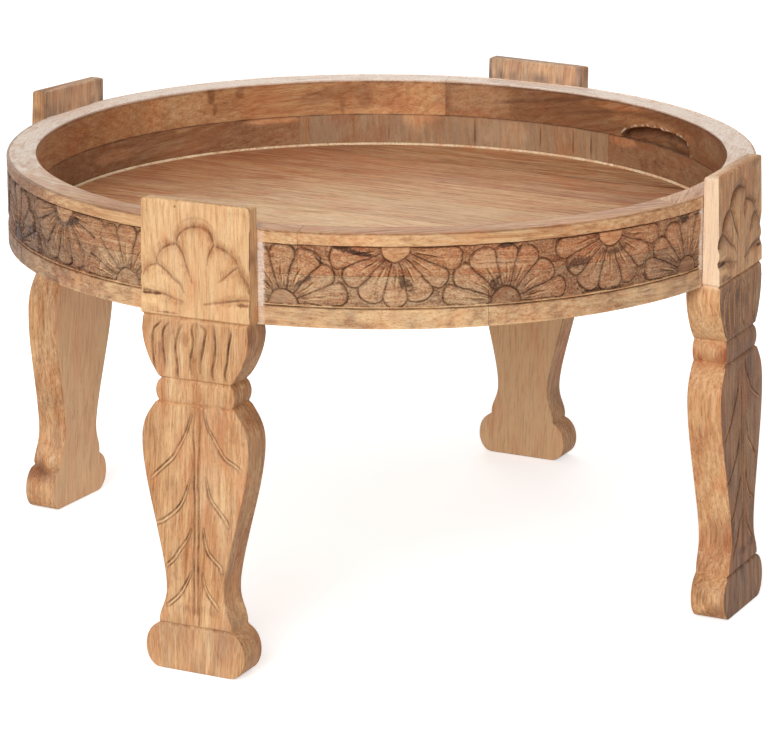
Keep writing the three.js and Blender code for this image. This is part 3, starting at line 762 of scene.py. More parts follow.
def block_tone(course, index, angle, height, is_outer, is_wall):
    """Red, grey and dark values over a block."""
    outer_tone = np.array(OUTER_TONES[course][index - 1])
    wall_tone = np.array(WALL_TONES[course][index - 1])
    tone = np.where(is_wall[..., None], wall_tone, outer_tone * (0.35, 0.6, 0.5))
    tone = np.broadcast_to(tone, (*angle.shape, 3)).copy()
    tone[~is_wall & ~is_outer & (height > RIM_TOP - 3)] = (0.35, 0.0, -0.1)
    on_frieze = is_outer & (height > LOWER_BAND_HEAD + 1) & (height < UPPER_BAND_FOOT)
    on_band = is_outer & ~on_frieze & (height < RIM_TOP - 0.8)
    low_band = on_band & (height < COURSE_SEAM)
    tone[on_frieze] = outer_tone
    tone[..., 2] += np.where(on_frieze, 0.04, 0.0)
    from_right = np.abs(wrapped(angle) - 100)
    band_tone = -0.5 + 0.25 * uneven(np.radians(angle) * RIM_RADIUS, height, 40, 71)
    band_tone = band_tone + fade(from_right, 75, 45) * 0.25
    band_tone = band_tone + 0.4 * low_band * np.clip(uneven(angle * 6.5, height, 9, 72), -0.3, 1)
    # paler along the lower band's bottom edge: a painted highlight where the bevel catches light
    tone[..., 2] = np.where(on_band, band_tone - 0.35 * fade(height, 341.5, 339.5), tone[..., 2])
    tone[..., 1] += 0.35 * low_band
    # painted shade over the rim's left side, stronger on the plain bands
    left_painted_shade = left_shade_and_rub(angle) * np.where(on_band, 0.95, 0.55)
    tone[..., 2] += is_outer * (left_painted_shade + 0.07 * fade(from_right, 70, 45) * on_frieze)
    return tone


def rim_block(name, course, index):
    """One block of the rim: its profile swept along its arc, carved outside."""
    start = FIRST_JOINTS[course] + BLOCK_ANGLE * (index - 1)
    end_gap = math.degrees(GLUE_GAP / 2 / WALL_RADIUS)
    steps = int(math.radians(BLOCK_ANGLE) * RIM_RADIUS / ALONG_STEP)
    angle = np.linspace(start + end_gap, start + BLOCK_ANGLE - end_gap, steps)
    outer, inner = block_profile(course)
    angles, heights = np.meshgrid(angle, outer[:, 1], indexing="ij")
    radius, cut, raw, carved, shade = outer_face(angles, heights, outer[:, 0], course)
    inner_angles, inner_r = np.meshgrid(angle, inner[:, 0], indexing="ij")
    inner_z = np.broadcast_to(inner[:, 1], inner_r.shape)
    has_void = (course, index) == BARK_BLOCK
    inner_r, inner_z, inner_cut_and_shade, inner_raw_and_lit = inner_face(inner_angles, inner_r, inner_z, has_void)
    points = np.concatenate([polar(angles, radius, heights), polar(inner_angles, inner_r, inner_z)], axis=1)
    all_angles, all_z = np.concatenate([angles, inner_angles], axis=1), points[..., 2]
    on_wall = inner[:, 0] < WALL_RADIUS + 0.01
    is_wall = np.append(np.zeros(len(outer), bool), on_wall)[None, :]
    is_outer = np.arange(points.shape[1])[None, :] < len(outer)
    chance = np.random.default_rng(100 * (course == "upper") + index)
    grain, shift = block_grain(points, math.radians(start + BLOCK_ANGLE / 2), chance)
    calm = 0.4
    if (course, index) in WALL_FIGURES:
        figure = WALL_FIGURES[course, index]
        turned = wall_figure(figure, all_angles, all_z) + shift
        grain[..., 0::2] = np.where(is_wall[..., None], turned[..., 0::2], grain[..., 0::2])
        calm = 0.6 if figure > STEEP_FIGURE else calm
    tone = block_tone(course, index, all_angles, all_z, is_outer, is_wall)
    tone[:, :len(outer), 2] += shade
    paint_patches(tone, all_angles, all_z, is_wall)
    channels = {
        "grain": grain,
        "tone": tone,
        "cut": np.concatenate([cut, inner_cut_and_shade], axis=1),
        "raw": np.concatenate([raw, inner_raw_and_lit], axis=1),
        "carved": np.concatenate([carved, np.broadcast_to(-calm * on_wall, inner_r.shape)], axis=1),
    }
    return swept_mesh(name, points, channels)


# The legs: sawn planks with carved faces

def curve_to(path, x, y, leave, arrive, steps=24):
    """Adds a curve to a list of points. Its control points lie at shares of the way from each end."""
    x0, y0 = path[-1]
    across, up = x - x0, y - y0
    c1 = (x0 + across * leave[0], y0 + up * leave[1])
    c2 = (x - across * arrive[0], y - up * arrive[1])
    for t in np.linspace(0, 1, steps + 1)[1:]:
        s = 1 - t
        path.append((s ** 3 * x0 + 3 * s * s * t * c1[0] + 3 * s * t * t * c2[0] + t ** 3 * x,
                     s ** 3 * y0 + 3 * s * s * t * c1[1] + 3 * s * t * t * c2[1] + t ** 3 * y))


def leg_outline(top):
    """Half width of a leg against height, from the sole to the top."""
    path = [(37, 0.0)]
    curve_to(path, 52.6, 21, (0.6, 0.05), (0, 0.52))
    curve_to(path, 40.2, 43.8, (0, 0.52), (0.59, 0.17))
    path += [(38.2, 45.6), (38.2, 49)]
    curve_to(path, 30.3, 80, (0.12, 0.34), (0, 0.46))
    curve_to(path, 56, 222, (0, 0.225), (0, 0.3))
    curve_to(path, 42.2, 258, (0, 0.53), (0.44, 0.25))
    path += [(38.4, 260.6)]
    for t in np.linspace(0, 1, 13)[1:]:
        path.append((38.4 + 2 * t * (1 - t) * 5.6, 260.6 + t * 18.8))
    path += [(35.7, 281.8), (38.4, 284.2)]
    curve_to(path, 55.8, 328, (0.51, 0.23), (0.03, 0.36))
    path += [(54.4, 340.5), (56.6, 342.7), (56.6, top - 2.5)]
    for a in np.radians(np.linspace(15, 90, 6)):
        path.append((54.1 + 2.5 * math.cos(a), top - 2.5 + 2.5 * math.sin(a)))
    return np.array(path)


def spline(points, steps=10):
    """A smooth line through hand-set points."""
    p = np.array(points, float)
    p = np.vstack([2 * p[0] - p[1], p, 2 * p[-1] - p[-2]])
    out = []
    for k in range(1, len(p) - 2):
        for t in np.linspace(0, 1, steps, endpoint=False):
            out.append(0.5 * (2 * p[k] + (p[k + 1] - p[k - 1]) * t
                              + (2 * p[k - 1] - 5 * p[k] + 4 * p[k + 1] - p[k + 2]) * t * t
                              + (3 * p[k] - p[k - 1] - 3 * p[k + 1] + p[k + 2]) * t ** 3))
    out.append(p[-2])
    return np.array(out)


def stroke(u, z, points):
    """Distance from a smooth line, on which side (positive on its left), and the share of its length."""
    line = spline(points)
    lengths = np.append(0, np.cumsum(np.hypot(*np.diff(line, axis=0).T)))
    best = np.full(u.shape, 1e6)
    side = np.ones(u.shape)
    share = np.zeros(u.shape)
    low, high = line.min(0) - 12, line.max(0) + 12
    near = (u > low[0]) & (u < high[0]) & (z > low[1]) & (z < high[1])
    pu, pz = u[near], z[near]
    b_best, b_side, b_share = best[near], side[near], share[near]
    for k in range(len(line) - 1):
        a, b = line[k], line[k + 1]
        du, dz = b - a
        long2 = du * du + dz * dz + 1e-9
        t = np.clip(((pu - a[0]) * du + (pz - a[1]) * dz) / long2, 0, 1)
        gap_u, gap_z = pu - a[0] - t * du, pz - a[1] - t * dz
        gap = np.hypot(gap_u, gap_z)
        closer = gap < b_best
        b_best = np.where(closer, gap, b_best)
        b_side = np.where(closer, np.sign(du * gap_z - dz * gap_u), b_side)
        b_share = np.where(closer, (lengths[k] + t * (lengths[k + 1] - lengths[k])) / lengths[-1], b_share)
    best[near], side[near], share[near] = b_best, b_side, b_share
    return best, side, share


# Carved lines of a leg's face: across and up, in millimetres from its middle and the floor
FLUTES = [
    [(-36, 334.7), (-42.6, 327.4), (-45, 312.9), (-43.4, 297.7), (-40.8, 289.7)],
    [(-27.4, 334.6), (-32.7, 325.1), (-33.2, 310.8), (-31.3, 299.2), (-31.6, 287.3)],
    [(-12.9, 334.6), (-18.3, 325.7), (-20.3, 313.6), (-19.7, 300.7), (-17.7, 285.5)],
    [(-0.5, 336.1), (-3.8, 329.8), (-2.2, 319.4), (-4.6, 302.6), (-4.2, 288.4)],
    [(6.7, 335.7), (10.5, 330.3), (9.3, 319.6), (5.4, 303.8), (5.6, 293.2), (9.2, 286.5)],
    [(19.7, 336.1), (20.3, 330.4), (21.6, 321.1), (19.7, 305.6), (18.4, 293.6), (19.6, 285.5)],
    [(35.5, 336.9), (37.8, 331.3), (35.9, 319.4), (33.4, 304.9), (31.7, 291.8), (34.6, 286.3)],
]
LEAF_GOUGES = [
    [(-3.8, 250.8), (-5.8, 241.4), (-10.2, 229.7), (-16, 218.5), (-23.1, 208.3), (-31.5, 198),
     (-46.8, 185.4)],
    [(-5.9, 186.7), (-9, 174.6), (-14.4, 164.2), (-22.4, 154.2), (-33.1, 145.4), (-40.6, 140.7)],
    [(-4.2, 140.7), (-8.8, 129.6), (-15.9, 118.8), (-23.4, 108.7), (-29.7, 101.3)],
    [(-4.3, 97.9), (-8.7, 86.6), (-15.5, 76.6), (-23.5, 67.5), (-27.6, 63.6)],
    [(10.1, 252.3), (11.8, 242.2), (17.4, 231.8), (24.4, 221.7), (32.2, 213.2), (41, 207.6), (47.2, 203.4)],
    [(11.6, 192), (13, 180.2), (17.3, 171.2), (23.5, 162.5), (30.5, 154.7), (35.5, 147.1)],
    [(9.4, 141.9), (10.4, 130.8), (14, 120.9), (20, 113.7), (26.2, 108.2), (29.2, 103.8)],
    [(8.5, 96.6), (10.8, 86.4), (14.7, 78.9), (20, 72.1), (25.3, 67.1)],
]
STEM_LINES = [
    [(-0.1, 250.9), (-1.1, 231.7), (-1.4, 212.6), (-0.7, 180.6), (-0.9, 116.2), (-0.4, 83.8),
     (-0.1, 57.5)],
    [(5.2, 251.6), (4.6, 229.3), (4.2, 208.5), (4.2, 181.3), (3.2, 116.8), (2.9, 58)],
]
# Petals of the shell: outline from notch to notch, with the steep side of the cut towards the petal
SHELL_EDGES = [
    [(-20.5, 409.8), (-18.4, 417.3), (-12.1, 423.6), (-2.1, 426.9), (7.3, 426.2), (14.5, 421.8),
     (18.4, 412.6)],
    [(-41.5, 389.9), (-39.8, 397.2), (-35.2, 403.3), (-28.2, 407.5), (-20.5, 409.3)],
    [(18.8, 411.2), (26.9, 409.3), (35.2, 404.6), (40.9, 400.1), (43.4, 395)],
    [(-54.5, 377.6), (-51.5, 383.7), (-45.8, 387.2), (-40.9, 388.5)],
    [(43.4, 393.9), (47.1, 388), (51.2, 382.9), (55, 376.3), (56.5, 369.2)],
]
SHELL_SPOKES = [
    [(-20.5, 409.4), (-15.6, 403.6), (-12.1, 395.6), (-8.4, 386.7), (-3.2, 375.1)],
    [(18.4, 412.1), (14.9, 406.1), (12.8, 401.2), (12.2, 393.2)],
    [(-41.5, 389.5), (-35.7, 386.4), (-28.3, 381.3), (-22, 375.8), (-15.8, 371.8), (-11.8, 365)],
    [(43.4, 393.9), (37.2, 389.1), (32.1, 383.9), (24.9, 378.3)],
    [(-54.7, 363.5), (-48.4, 363.5), (-38.2, 361.7), (-25.3, 359), (-12.3, 356.2)],
    [(56.5, 363.6), (49.7, 363.4), (37.3, 361.5), (22.7, 358.5), (9.9, 356.1)],
]
SHELL_ARCH = [(-18.8, 427.5), (-10.8, 432.5), (-2, 434.9), (6.7, 434.7), (13.4, 431.7), (20.2, 424)]
# Soft stains of a leg's face: across, up, half sizes and strength; below 0 a painted highlight instead
FACE_STAINS = [
    (-24, 356, 15, 5, 0.4), (-43, 347, 11, 3.5, 0.45), (-43, 361, 14, 1.7, 1.0), (50, 359, 8, 2.0, 0.8),
    (-46, 366.5, 9, 3.4, -0.9), (-47, 354, 10, 3, -0.8), (-33, 344.6, 15, 1.1, 0.7),
    (-20.5, 444.5, 1.3, 1.3, 0.95), (19, 64, 12, 7, 0.25), (-29, 92, 9, 16, 0.3), (40, 443, 16, 4, 0.25),
    (-10, 322, 9, 9, 0.3), (-38, 305, 4, 14, 0.3), (12, 312, 12, 14, 0.15), (-1, 62, 24, 6, 0.2),
    (-36, 385, 7, 9, 0.3), (30, 385, 10, 9, 0.25),
]
# Grooves across a leg: height and stain. The rounded ring lies between the second and the third
CROSS_GROOVES = ((44.7, 0.35), (259.3, 0.12), (281.8, 0.15), (340.5, 0.55))
CROSS_GROOVE_DEPTH = 2.6


class FaceCarving:
    """The carving of a leg's face: depth below the plank, stain in cuts, painted highlights beside them, and
    painted soft shade and stains.
    """

    def __init__(self, u, z, seed):
        self.u, self.z, self.seed = u, z, seed
        self.chance = np.random.default_rng(seed)
        self.u_moved = u + 0.5 * self.uneven(13, 1)
        self.z_moved = z + 0.5 * self.uneven(17, 2)
        self.depth = 0.10 + 0.10 * self.uneven(21, 3) + 0.05 * self.uneven(7, 4)
        self.cut = np.zeros_like(u)
        self.pale_highlight = np.zeros_like(u)
        self.shade = 0.12 * np.clip(uneven(u, z * 0.4, 8, seed + 5), 0, 1)

    def uneven(self, size, seed):
        return uneven(self.u, self.z, size, self.seed + seed)

    def stroke(self, points):
        return stroke(self.u_moved, self.z_moved, points)

    def stain(self, amount):
        self.cut = np.maximum(self.cut, amount)

    def darken(self, amount):
        self.shade = np.maximum(self.shade, amount)

    def jitter(self, points):
        """The points as a hand sets them, each a little off its place."""
        return [(a + self.chance.uniform(-0.8, 0.8), b + self.chance.uniform(-1.0, 1.0)) for a, b in points]

    def v_groove(self, points, width, drop, stain, second=0.0):
        """A cut with a steep dark wall on its left, and a painted highlight and a second thin line on its
        right.
        """
        gap, side, share = self.stroke(self.jitter(points))
        away = side * gap
        taper = fade(share, -0.02, 0.16) * fade(share, 1.03, 0.84)
        cup = np.clip(1 - (gap / width) ** 2, 0, 1)
        self.depth = self.depth + drop * cup * (0.3 + 0.7 * taper)
        patchy_strength = 0.85 + 0.35 * self.uneven(6, 33)
        self.stain(stain * mark(away + 0.3, width * 0.85) * (0.35 + 0.65 * taper) * patchy_strength)
        self.pale_highlight = np.maximum(self.pale_highlight, 0.35 * dent(away - 1.9, 1.0) * taper)
        self.stain(second * mark(away - 3.4, 0.85) * taper * patchy_strength)

    def double_gouge(self, points, reach, drop, stain):
        """A shallow gouge between two dark lines, wider towards its end."""
        gap, _, share = self.stroke(self.jitter(points))
        taper = fade(share, -0.05, 0.12) * fade(share, 1.04, 0.9)
        half = 0.6 + reach * fade(share, -0.2, 0.7)
        cup = np.clip(1 - (gap / (half + 0.7)) ** 2, 0, 1)
        self.depth = self.depth + drop * cup * (0.3 + 0.7 * taper)
        broken = 0.85 + 0.4 * self.uneven(4.5, 31)
        self.stain(stain * mark(np.abs(gap) - half, 1.2) * broken * (0.3 + 0.7 * taper))
        self.pale_highlight = np.maximum(self.pale_highlight, 0.6 * cup * taper * (gap < half * 0.6))

    def shell_edge(self, points):
        """A petal's outline: steep towards the petal on its right, a long slope on its left."""
        gap, side, share = self.stroke(points)
        slope = np.clip(1 - gap / np.where(side > 0, 8.5, 1.6), 0, 1)
        end = fade(share, -0.06, 0.06) * fade(share, 1.06, 0.94)
        self.depth = np.maximum(self.depth, self.depth * 0.3 + 2.9 * slope ** 1.2 * end)
        patchy_strength = 0.8 + 0.35 * self.uneven(5, 34)
        self.stain(0.6 * mark(gap, 1.3) * end * patchy_strength)
        # painted shade down the long slope and softly outside the petal
        self.darken(np.where(side > 0, 0.55 * slope, 0.4 * fade(gap, 10, 0)) * end)

    def shell_spoke(self, points):
        """The valley between two petals, deep at the rim of the shell and shallow at its foot."""
        gap, _, share = self.stroke(points)
        weight = fade(share, 1.02, 0.4)
        slope = np.clip(1 - gap / (1.6 + 5.2 * weight), 0, 1)
        self.depth = np.maximum(self.depth, self.depth * 0.3 + (0.6 + 2.2 * weight) * slope ** 1.1)
        self.stain(0.65 * mark(gap, 1.2) * (0.35 + 0.65 * weight))
        # painted shade in the valley between petals
        self.darken(0.45 * slope)

    def shell_arch(self, points):
        """A shallow line over the shell's middle petal."""
        gap, _, share = self.stroke(points)
        ends = fade(share, 0, 0.25) * fade(share, 1, 0.75)
        self.depth = self.depth + 0.7 * dent(gap, 2.2) * ends
        self.stain(0.3 * dent(gap, 1.7) * ends)

    def soft_stain(self, across, up, half_across, half_up, strength):
        """A stain with a ragged edge, or a painted highlight where its strength is below 0."""
        far = np.hypot((self.u - across) / half_across, (self.z - up) / half_up)
        far = far + 0.3 * self.uneven(5, 41) + 0.2 * self.uneven(1.7, 42)
        self.darken(strength * fade(far, 1.1, 0.3))
        self.pale_highlight = np.maximum(self.pale_highlight, -strength * fade(far, 1.1, 0.5))
        self.stain((1.6 * strength - 0.8) * fade(far, 1.0, 0.5))

    def cross_groove(self, level, stain):
        """A groove straight across the face, over whatever is carved there."""
        line = dent(self.z - level - 0.3 * uneven(self.u, self.z * 0, 19, self.seed + 7), 2.2)
        grooved = np.maximum(self.depth * (1 - line), CROSS_GROOVE_DEPTH * line)
        self.depth = np.where(line > 0, grooved, self.depth)
        self.cut = np.maximum(self.cut * (1 - line), stain * dent(self.z - level, 1.0))

    def ring(self, foot, head):
        """Rounds the face between two grooves."""
        share = np.clip((self.z - foot) / (head - foot), 0, 1)
        bulge = CROSS_GROOVE_DEPTH * (1 - np.sqrt(np.clip(1 - np.abs(2 * share - 1) ** 2.6, 0, 1)))
        self.depth = np.where((share > 0) & (share < 1), bulge + 0.1, self.depth)


def carve_face(u, z, seed):
    """Everything that is carved into a leg's face, from the flutes to the cross grooves."""
    face = FaceCarving(u, z, seed)
    for points in FLUTES:
        face.v_groove(points, 1.8, 1.3, 1.0, 0.25)
    for points in LEAF_GOUGES:
        face.double_gouge(points, 1.1, 1.1, 0.8)
    for points in STEM_LINES:
        face.v_groove(points, 1.3, 1.0, 0.75)
    face.cut = face.cut * (0.9 + 0.25 * face.uneven(9, 6))
    for points in SHELL_EDGES:
        face.shell_edge(points)
    for points in SHELL_SPOKES:
        face.shell_spoke(points)
    face.shell_arch(SHELL_ARCH)
    for spot in FACE_STAINS:
        face.soft_stain(*spot)
    for level, stain in CROSS_GROOVES:
        face.cross_groove(level, stain)
    face.ring(CROSS_GROOVES[1][0], CROSS_GROOVES[2][0])
    face.cut = np.clip(face.cut, 0, 1)
    return face


def leg_rows(top):
    """Heights of the rows of a leg's mesh, closer at both rounded ends."""
    ease = 2.2
    curve = ease * (1 - np.cos(np.radians([0, 22, 40, 55, 70, 90])))
    middle = np.arange(ease + LEG_ROW_STEP, top - ease, LEG_ROW_STEP)
    return np.concatenate([curve, middle, (top - curve)[::-1]]), ease


def leaned(rings, lean, inner_share):
    """Leans a leg in its own plane about the rim's underside. Its sole and its shoulder stay level."""
    u, z = rings[..., 0], rings[..., 2]
    rise = u * math.sin(lean) + (RIM_UNDERSIDE - z) * (1 - math.cos(lean))
    level = np.maximum(fade(z, 14, 0), inner_share * fade(np.abs(z - SHOULDER), 9, 2))
    moved = rings.copy()
    moved[..., 0] = u * math.cos(lean) - (z - RIM_UNDERSIDE) * math.sin(lean)
    moved[..., 2] = z + (1 - level) * rise
    return moved


def leg_rings(rows, half, inset, arris, face, depth, seed):
    """The rings of a leg: its carved face, the right flank, the inner face and the left flank."""
    outer = LEG_FACE_RADIUS - rows * SPLAY_SLOPE - inset
    above = rows >= SHOULDER
    inner = np.where(above, STUB_FACE_RADIUS, LEG_FACE_RADIUS - rows * SPLAY_SLOPE - PLANK_THICKNESS) + inset
    # the two rows at the shoulder meet in one sharp level step at the back
    back_z = rows.copy()
    first = int(np.argmax(above))
    back_z[first - 1:first + 1] = SHOULDER
    bend = np.radians(np.linspace(0, 90, CORNER_COLUMNS + 1)[1:])

    def corner(sign, edge_depth):
        return np.stack([np.stack([
            sign * (half - arris + arris * math.sin(a)),
            outer - arris + arris * math.cos(a) - edge_depth * (1 - 0.35 * math.sin(a)),
            rows], axis=-1) for a in bend], axis=1)

    def flank(sign, edge_depth):
        start = outer - arris - edge_depth * 0.65
        end = inner + 1.2
        wave = 0.12 * uneven(rows, rows * 0, 15, seed + 12)
        side = [np.stack([sign * (half + wave * math.sin(math.pi * t)), start + (end - start) * t,
                          rows + (back_z - rows) * t], axis=-1) for t in FLANK_SHARES]
        tail = [np.stack([sign * (half - 0.35), inner + 0.35, back_z], axis=-1)]
        return np.stack(side + tail, axis=1)

    front = np.stack([face.u, outer[:, None] - depth, face.z], axis=-1)
    back_share = np.linspace(1, -1, INNER_COLUMNS)
    back = np.stack([back_share[None, :] * (half - 1.2)[:, None],
                     np.broadcast_to(inner[:, None], (len(rows), INNER_COLUMNS)),
                     np.broadcast_to(back_z[:, None], (len(rows), INNER_COLUMNS))], axis=-1)
    return np.concatenate([front, corner(1, depth[:, -1]), flank(1, depth[:, -1]), back,
                           flank(-1, depth[:, 0])[:, ::-1], corner(-1, depth[:, 0])[:, ::-1]], axis=1)


def leg_grain(rings, seed):
    """Grain that runs up the plank, a little aslant."""
    chance = np.random.default_rng(seed + 500)
    shift = np.array([chance.uniform(-3, 3), chance.uniform(-0.08, 0.08), chance.uniform(0.05, 0.15)])
    slant = chance.uniform(-0.04, 0.04)
    gx = rings[..., 2] * MM
    gy = rings[..., 0] * MM + gx * slant
    gz = (rings[..., 1] - STUB_FACE_RADIUS) * MM
    return np.stack([gx, gy, gz], axis=-1) + shift


def leg_tone(rings, rows, face, stub, stain, seed):
    """Red, grey and dark values over a leg."""
    u, outwards, z = (rings[..., k] for k in range(3))
    tone = np.zeros(rings.shape)
    tone[...] = stain["all"]
    tone[:, FACE] = stain["face"]
    tone[..., 2] -= stub * stain["stub_pale"]
    tone[..., 0] *= 1 - 0.6 * stub
    # painted light: the stub's left flank paler where it faces the light
    tone[:, LEFT, 2] -= stub * stain["painted_flank_light"]
    # the carving's painted shade also reddens the face
    tone[:, FACE, 0] += 0.7 * face.shade
    # the back and left legs' pale inner tones are painted light on faces in shade
    tone[:, INNER] = stain["inner"]
    round_u = u + 0.8 * outwards
    tone[..., 0] += 0.3 * uneven(round_u, z * 0.3, 11, seed + 61)
    tone[..., 1] += 0.4 * uneven(round_u, z * 0.25, 9, seed + 62)
    tone[..., 2] += 0.16 * uneven(round_u, z * 0.25, 6, seed + 63)
    flank, stains = stain["flank"]
    broken = 0.8 + 0.7 * uneven(round_u, z, 13, seed + 64)
    for level, half_high, red, dark in stains:
        share = hill(rows - level, half_high)[:, None] * broken
        tone[:, flank, 0] += red * share[:, flank]
        tone[:, flank, 2] += dark * share[:, flank]
    inner_u, inner_z = u[:, INNER], z[:, INNER]
    browned = 0.75 * fade(np.abs(inner_u), 36, 56) + 0.5 * fade(inner_z, 444, 430)
    browned = browned * (0.8 + 0.9 * uneven(inner_u, inner_z * 0.5, 7, seed + 65))
    streaks = 0.3 * uneven(inner_u, inner_z * 0.2, 5, seed + 66)
    browned = np.clip(browned, 0, 0.9) - stain["inner"][2] + streaks
    tone[:, INNER, 2] += stub * stain["stub_brown"] * browned
    # painted shade darkens the face and painted highlights pale it
    tone[:, FACE, 2] += face.shade - 0.8 * face.pale_highlight
    tone[:, FACE, 1] += 0.5 * fade(rows, 52, 44)[:, None]
    return tone


def leg_cuts(rings, rows, cut, seed):
    """Stain of the cuts, carried round both corners, and painted shade along the stub's right arris."""
    stain_and_shade = np.zeros(rings.shape[:2])
    stain_and_shade[:, FACE] = cut
    # painted shade along the stub's right arris, on its side away from the light
    patchy_strength = np.clip(0.4 + 0.9 * uneven(rows, rows * 0, 9, seed + 51), 0, 1) * fade(rows, 343, 350)
    for k in range(CORNER_COLUMNS):
        share = 1 - k / CORNER_COLUMNS
        stain_and_shade[:, RIGHT.start + k] = np.maximum(cut[:, -1] * share, 0.75 * patchy_strength)
        stain_and_shade[:, -1 - k] = cut[:, 0] * share
    return stain_and_shade


def leg_mesh(seed, stain, top, lean):
    """A leg in its own frame, across, outwards and up, with the values of its wood."""
    rows, ease = leg_rows(top)
    outline = leg_outline(top)
    half = np.interp(rows, outline[:, 1], outline[:, 0])
    half = half + 0.25 * uneven(rows, rows * 0, 37, seed + 11)
    from_end = np.minimum(rows, top - rows)
    bow = ease - np.sqrt(np.clip(ease ** 2 - (ease - from_end) ** 2, 0, None))
    inset = np.where(from_end < ease, bow, 0)
    arris = 1.1 - 0.4 * fade(rows, 335, 350)
    half = half - inset
    u = np.linspace(-1, 1, LEG_COLUMNS)[None, :] * (half - arris)[:, None]
    face = carve_face(u, np.broadcast_to(rows[:, None], u.shape), seed)
    depth = face.depth * fade(from_end, 0, 3)[:, None]
    rings = leg_rings(rows, half, inset, arris, face, depth, seed)
    stub = fade(rows, 336, 344)[:, None]
    raw = np.zeros(rings.shape[:2])
    # painted light on that flank, as pale raw wood
    raw[:, LEFT] = 0.45 * stub * (stain["painted_flank_light"] > 0.5)
    # painted light lifting the inner faces, which stand in shade
    raw[:, INNER] = 0.16
    carved = np.full(raw.shape, 0.06)
    carved[:, FACE] = stain["dirt"] * fade(rows, 45, 60)[:, None]
    channels = {"grain": leg_grain(rings, seed), "tone": leg_tone(rings, rows, face, stub, stain, seed),
                "cut": leg_cuts(rings, rows, face.cut, seed), "raw": raw, "carved": carved}
    inner_share = np.zeros(rings.shape[1])
    flank_share = np.append(FLANK_SHARES, 1)
    inner_share[RIGHT.start + CORNER_COLUMNS:RIGHT.stop] = flank_share
    inner_share[INNER] = 1
    inner_share[LEFT.start:LEFT.start + FLANK_COLUMNS] = flank_share[::-1]
    return leaned(rings, lean, inner_share), channels


# Each leg's tones, and stains of one of its flanks: height, half height, red and dark. The back and left
# legs' pale inner tones are painted light on faces that stand in shade
LEG_STAINS = {
    "front": {"all": (0.15, 0.0, 0.1), "face": (0.25, 0.0, -0.1), "inner": (0.2, 0.1, 0.1),
              "stub_pale": 0.5, "stub_brown": 0.3, "painted_flank_light": 0.0, "dirt": 0.2,
              # the front leg's dark stub flank is painted shade as well as stain
              "flank": (RIGHT, ((395, 50, 0.1, 0.55), (325, 16, 0.1, 0.25), (250, 20, 0.1, 0.15)))},
    "right": {"all": (0.15, 0.0, -0.15), "face": (0.4, 0.0, 0.55), "inner": (0.2, 0.1, 0.1),
              "stub_pale": 0.5, "stub_brown": 0.3, "painted_flank_light": 0.8, "dirt": 0.25,
              "flank": (LEFT, ((270, 11, 0.9, 0.2), (15, 34, 0.2, 0.5), (75, 45, 0.3, 0.25),
                               (205, 55, 0.4, 0.0)))},
    "back": {"all": (0.2, 0.1, 0.1), "face": (0.1, 0.1, 0.2), "inner": (0.05, 0.3, -1.1),
             "stub_pale": 0.0, "stub_brown": 1.05, "painted_flank_light": 0.0, "dirt": 0.2,
             "flank": (LEFT, ((400, 60, 0.1, 0.4),))},
    "left": {"all": (0.15, 0.2, 0.0), "face": (0.1, 0.1, 0.1), "inner": (0.05, 0.25, -0.8),
             "stub_pale": 0.0, "stub_brown": 0.9, "painted_flank_light": 0.0, "dirt": 0.2,
             "flank": (RIGHT, ((310, 32, 0.1, 0.15), (40, 9, 0.4, 0.4), (120, 30, 0.1, 0.2),
                               (440, 34, 0.0, 0.55)))},
}


def add_leg(side, quarter, material):
    """One leg, turned to its quarter of the rim."""
    lean = math.radians(LEG_LEANS[quarter])
    rings, channels = leg_mesh(200 + 20 * quarter, LEG_STAINS[side], LEG_TOPS[quarter], lean)
    turn = math.radians(90 * quarter + LEG_TURNS[quarter])
    across = np.array([math.cos(turn), math.sin(turn), 0])
    outward = np.array([math.sin(turn), -math.cos(turn), 0])
    upward = np.array([0, 0, 1.0])
    points = rings[..., :1] * across + rings[..., 1:2] * outward + rings[..., 2:] * upward
    name = f"carved_leg_{side}"
    piece(name, swept_mesh(name, points, channels), material, f"leg_{side}")


# Finishes of the pieces

BOARD_FINISHES = [
    ("7f5232 ab7a4e c59463 dab080", 0.1, 0.15, 0.05),
    ("9c683e ca9764 e0b37e f0ce9c", 0.1, 0.05, -0.1),
    ("b48854 e2b37e f2ce9a fae0b4", 0.0, 0.2, -0.25),
    ("b68550 e4b27c f4cc96 fadeb2", 0.05, 0.1, -0.25),
    ("aa7c4a d8a872 ecc08c f6d6a8", 0.1, 0.15, -0.18),
    ("a0693e d69b66 e8b680 f4ce9e", 0.15, 0.1, -0.1),
    ("925c3c c38a60 d8a578 e6bc92", 0.25, 0.1, -0.05),
    ("7c5236 a97a50 c5966a d9b184", 0.2, 0.1, 0.02),
]
PLAIN_FINISHES = {
    "bead_wood": ("dcbc94 e6caa2 eed6b2 f4e2c4", 0.6),
    "batten_wood": ("8a6240 b08656 c69f70 d8b88c", 0.65),
    "dowel_wood": ("a8824f cda973 dcbc8c e8d0a8", 0.65),
}


def tints(text):
    return [tint(word) for word in text.split()]


def set_finish(node, material):
    node.data.materials.clear()
    node.data.materials.append(material)


def board_grain(index):
    """Grain of a tray board, which runs along X a little aslant."""
    chance = np.random.default_rng(300 + index)
    shift = tuple(chance.uniform(-2, 2, 3))
    turn = (0, 0, chance.uniform(-0.03, 0.03))

    def build(f):
        inputs = {"Vector": f.place(), "Location": shift, "Rotation": turn}
        return f.node("ShaderNodeMapping", {}, inputs, "Vector")
    return build


def grain_along_y(f):
    return f.node("ShaderNodeMapping", {}, {"Vector": f.place(), "Rotation": (0, 0, math.pi / 2)}, "Vector")


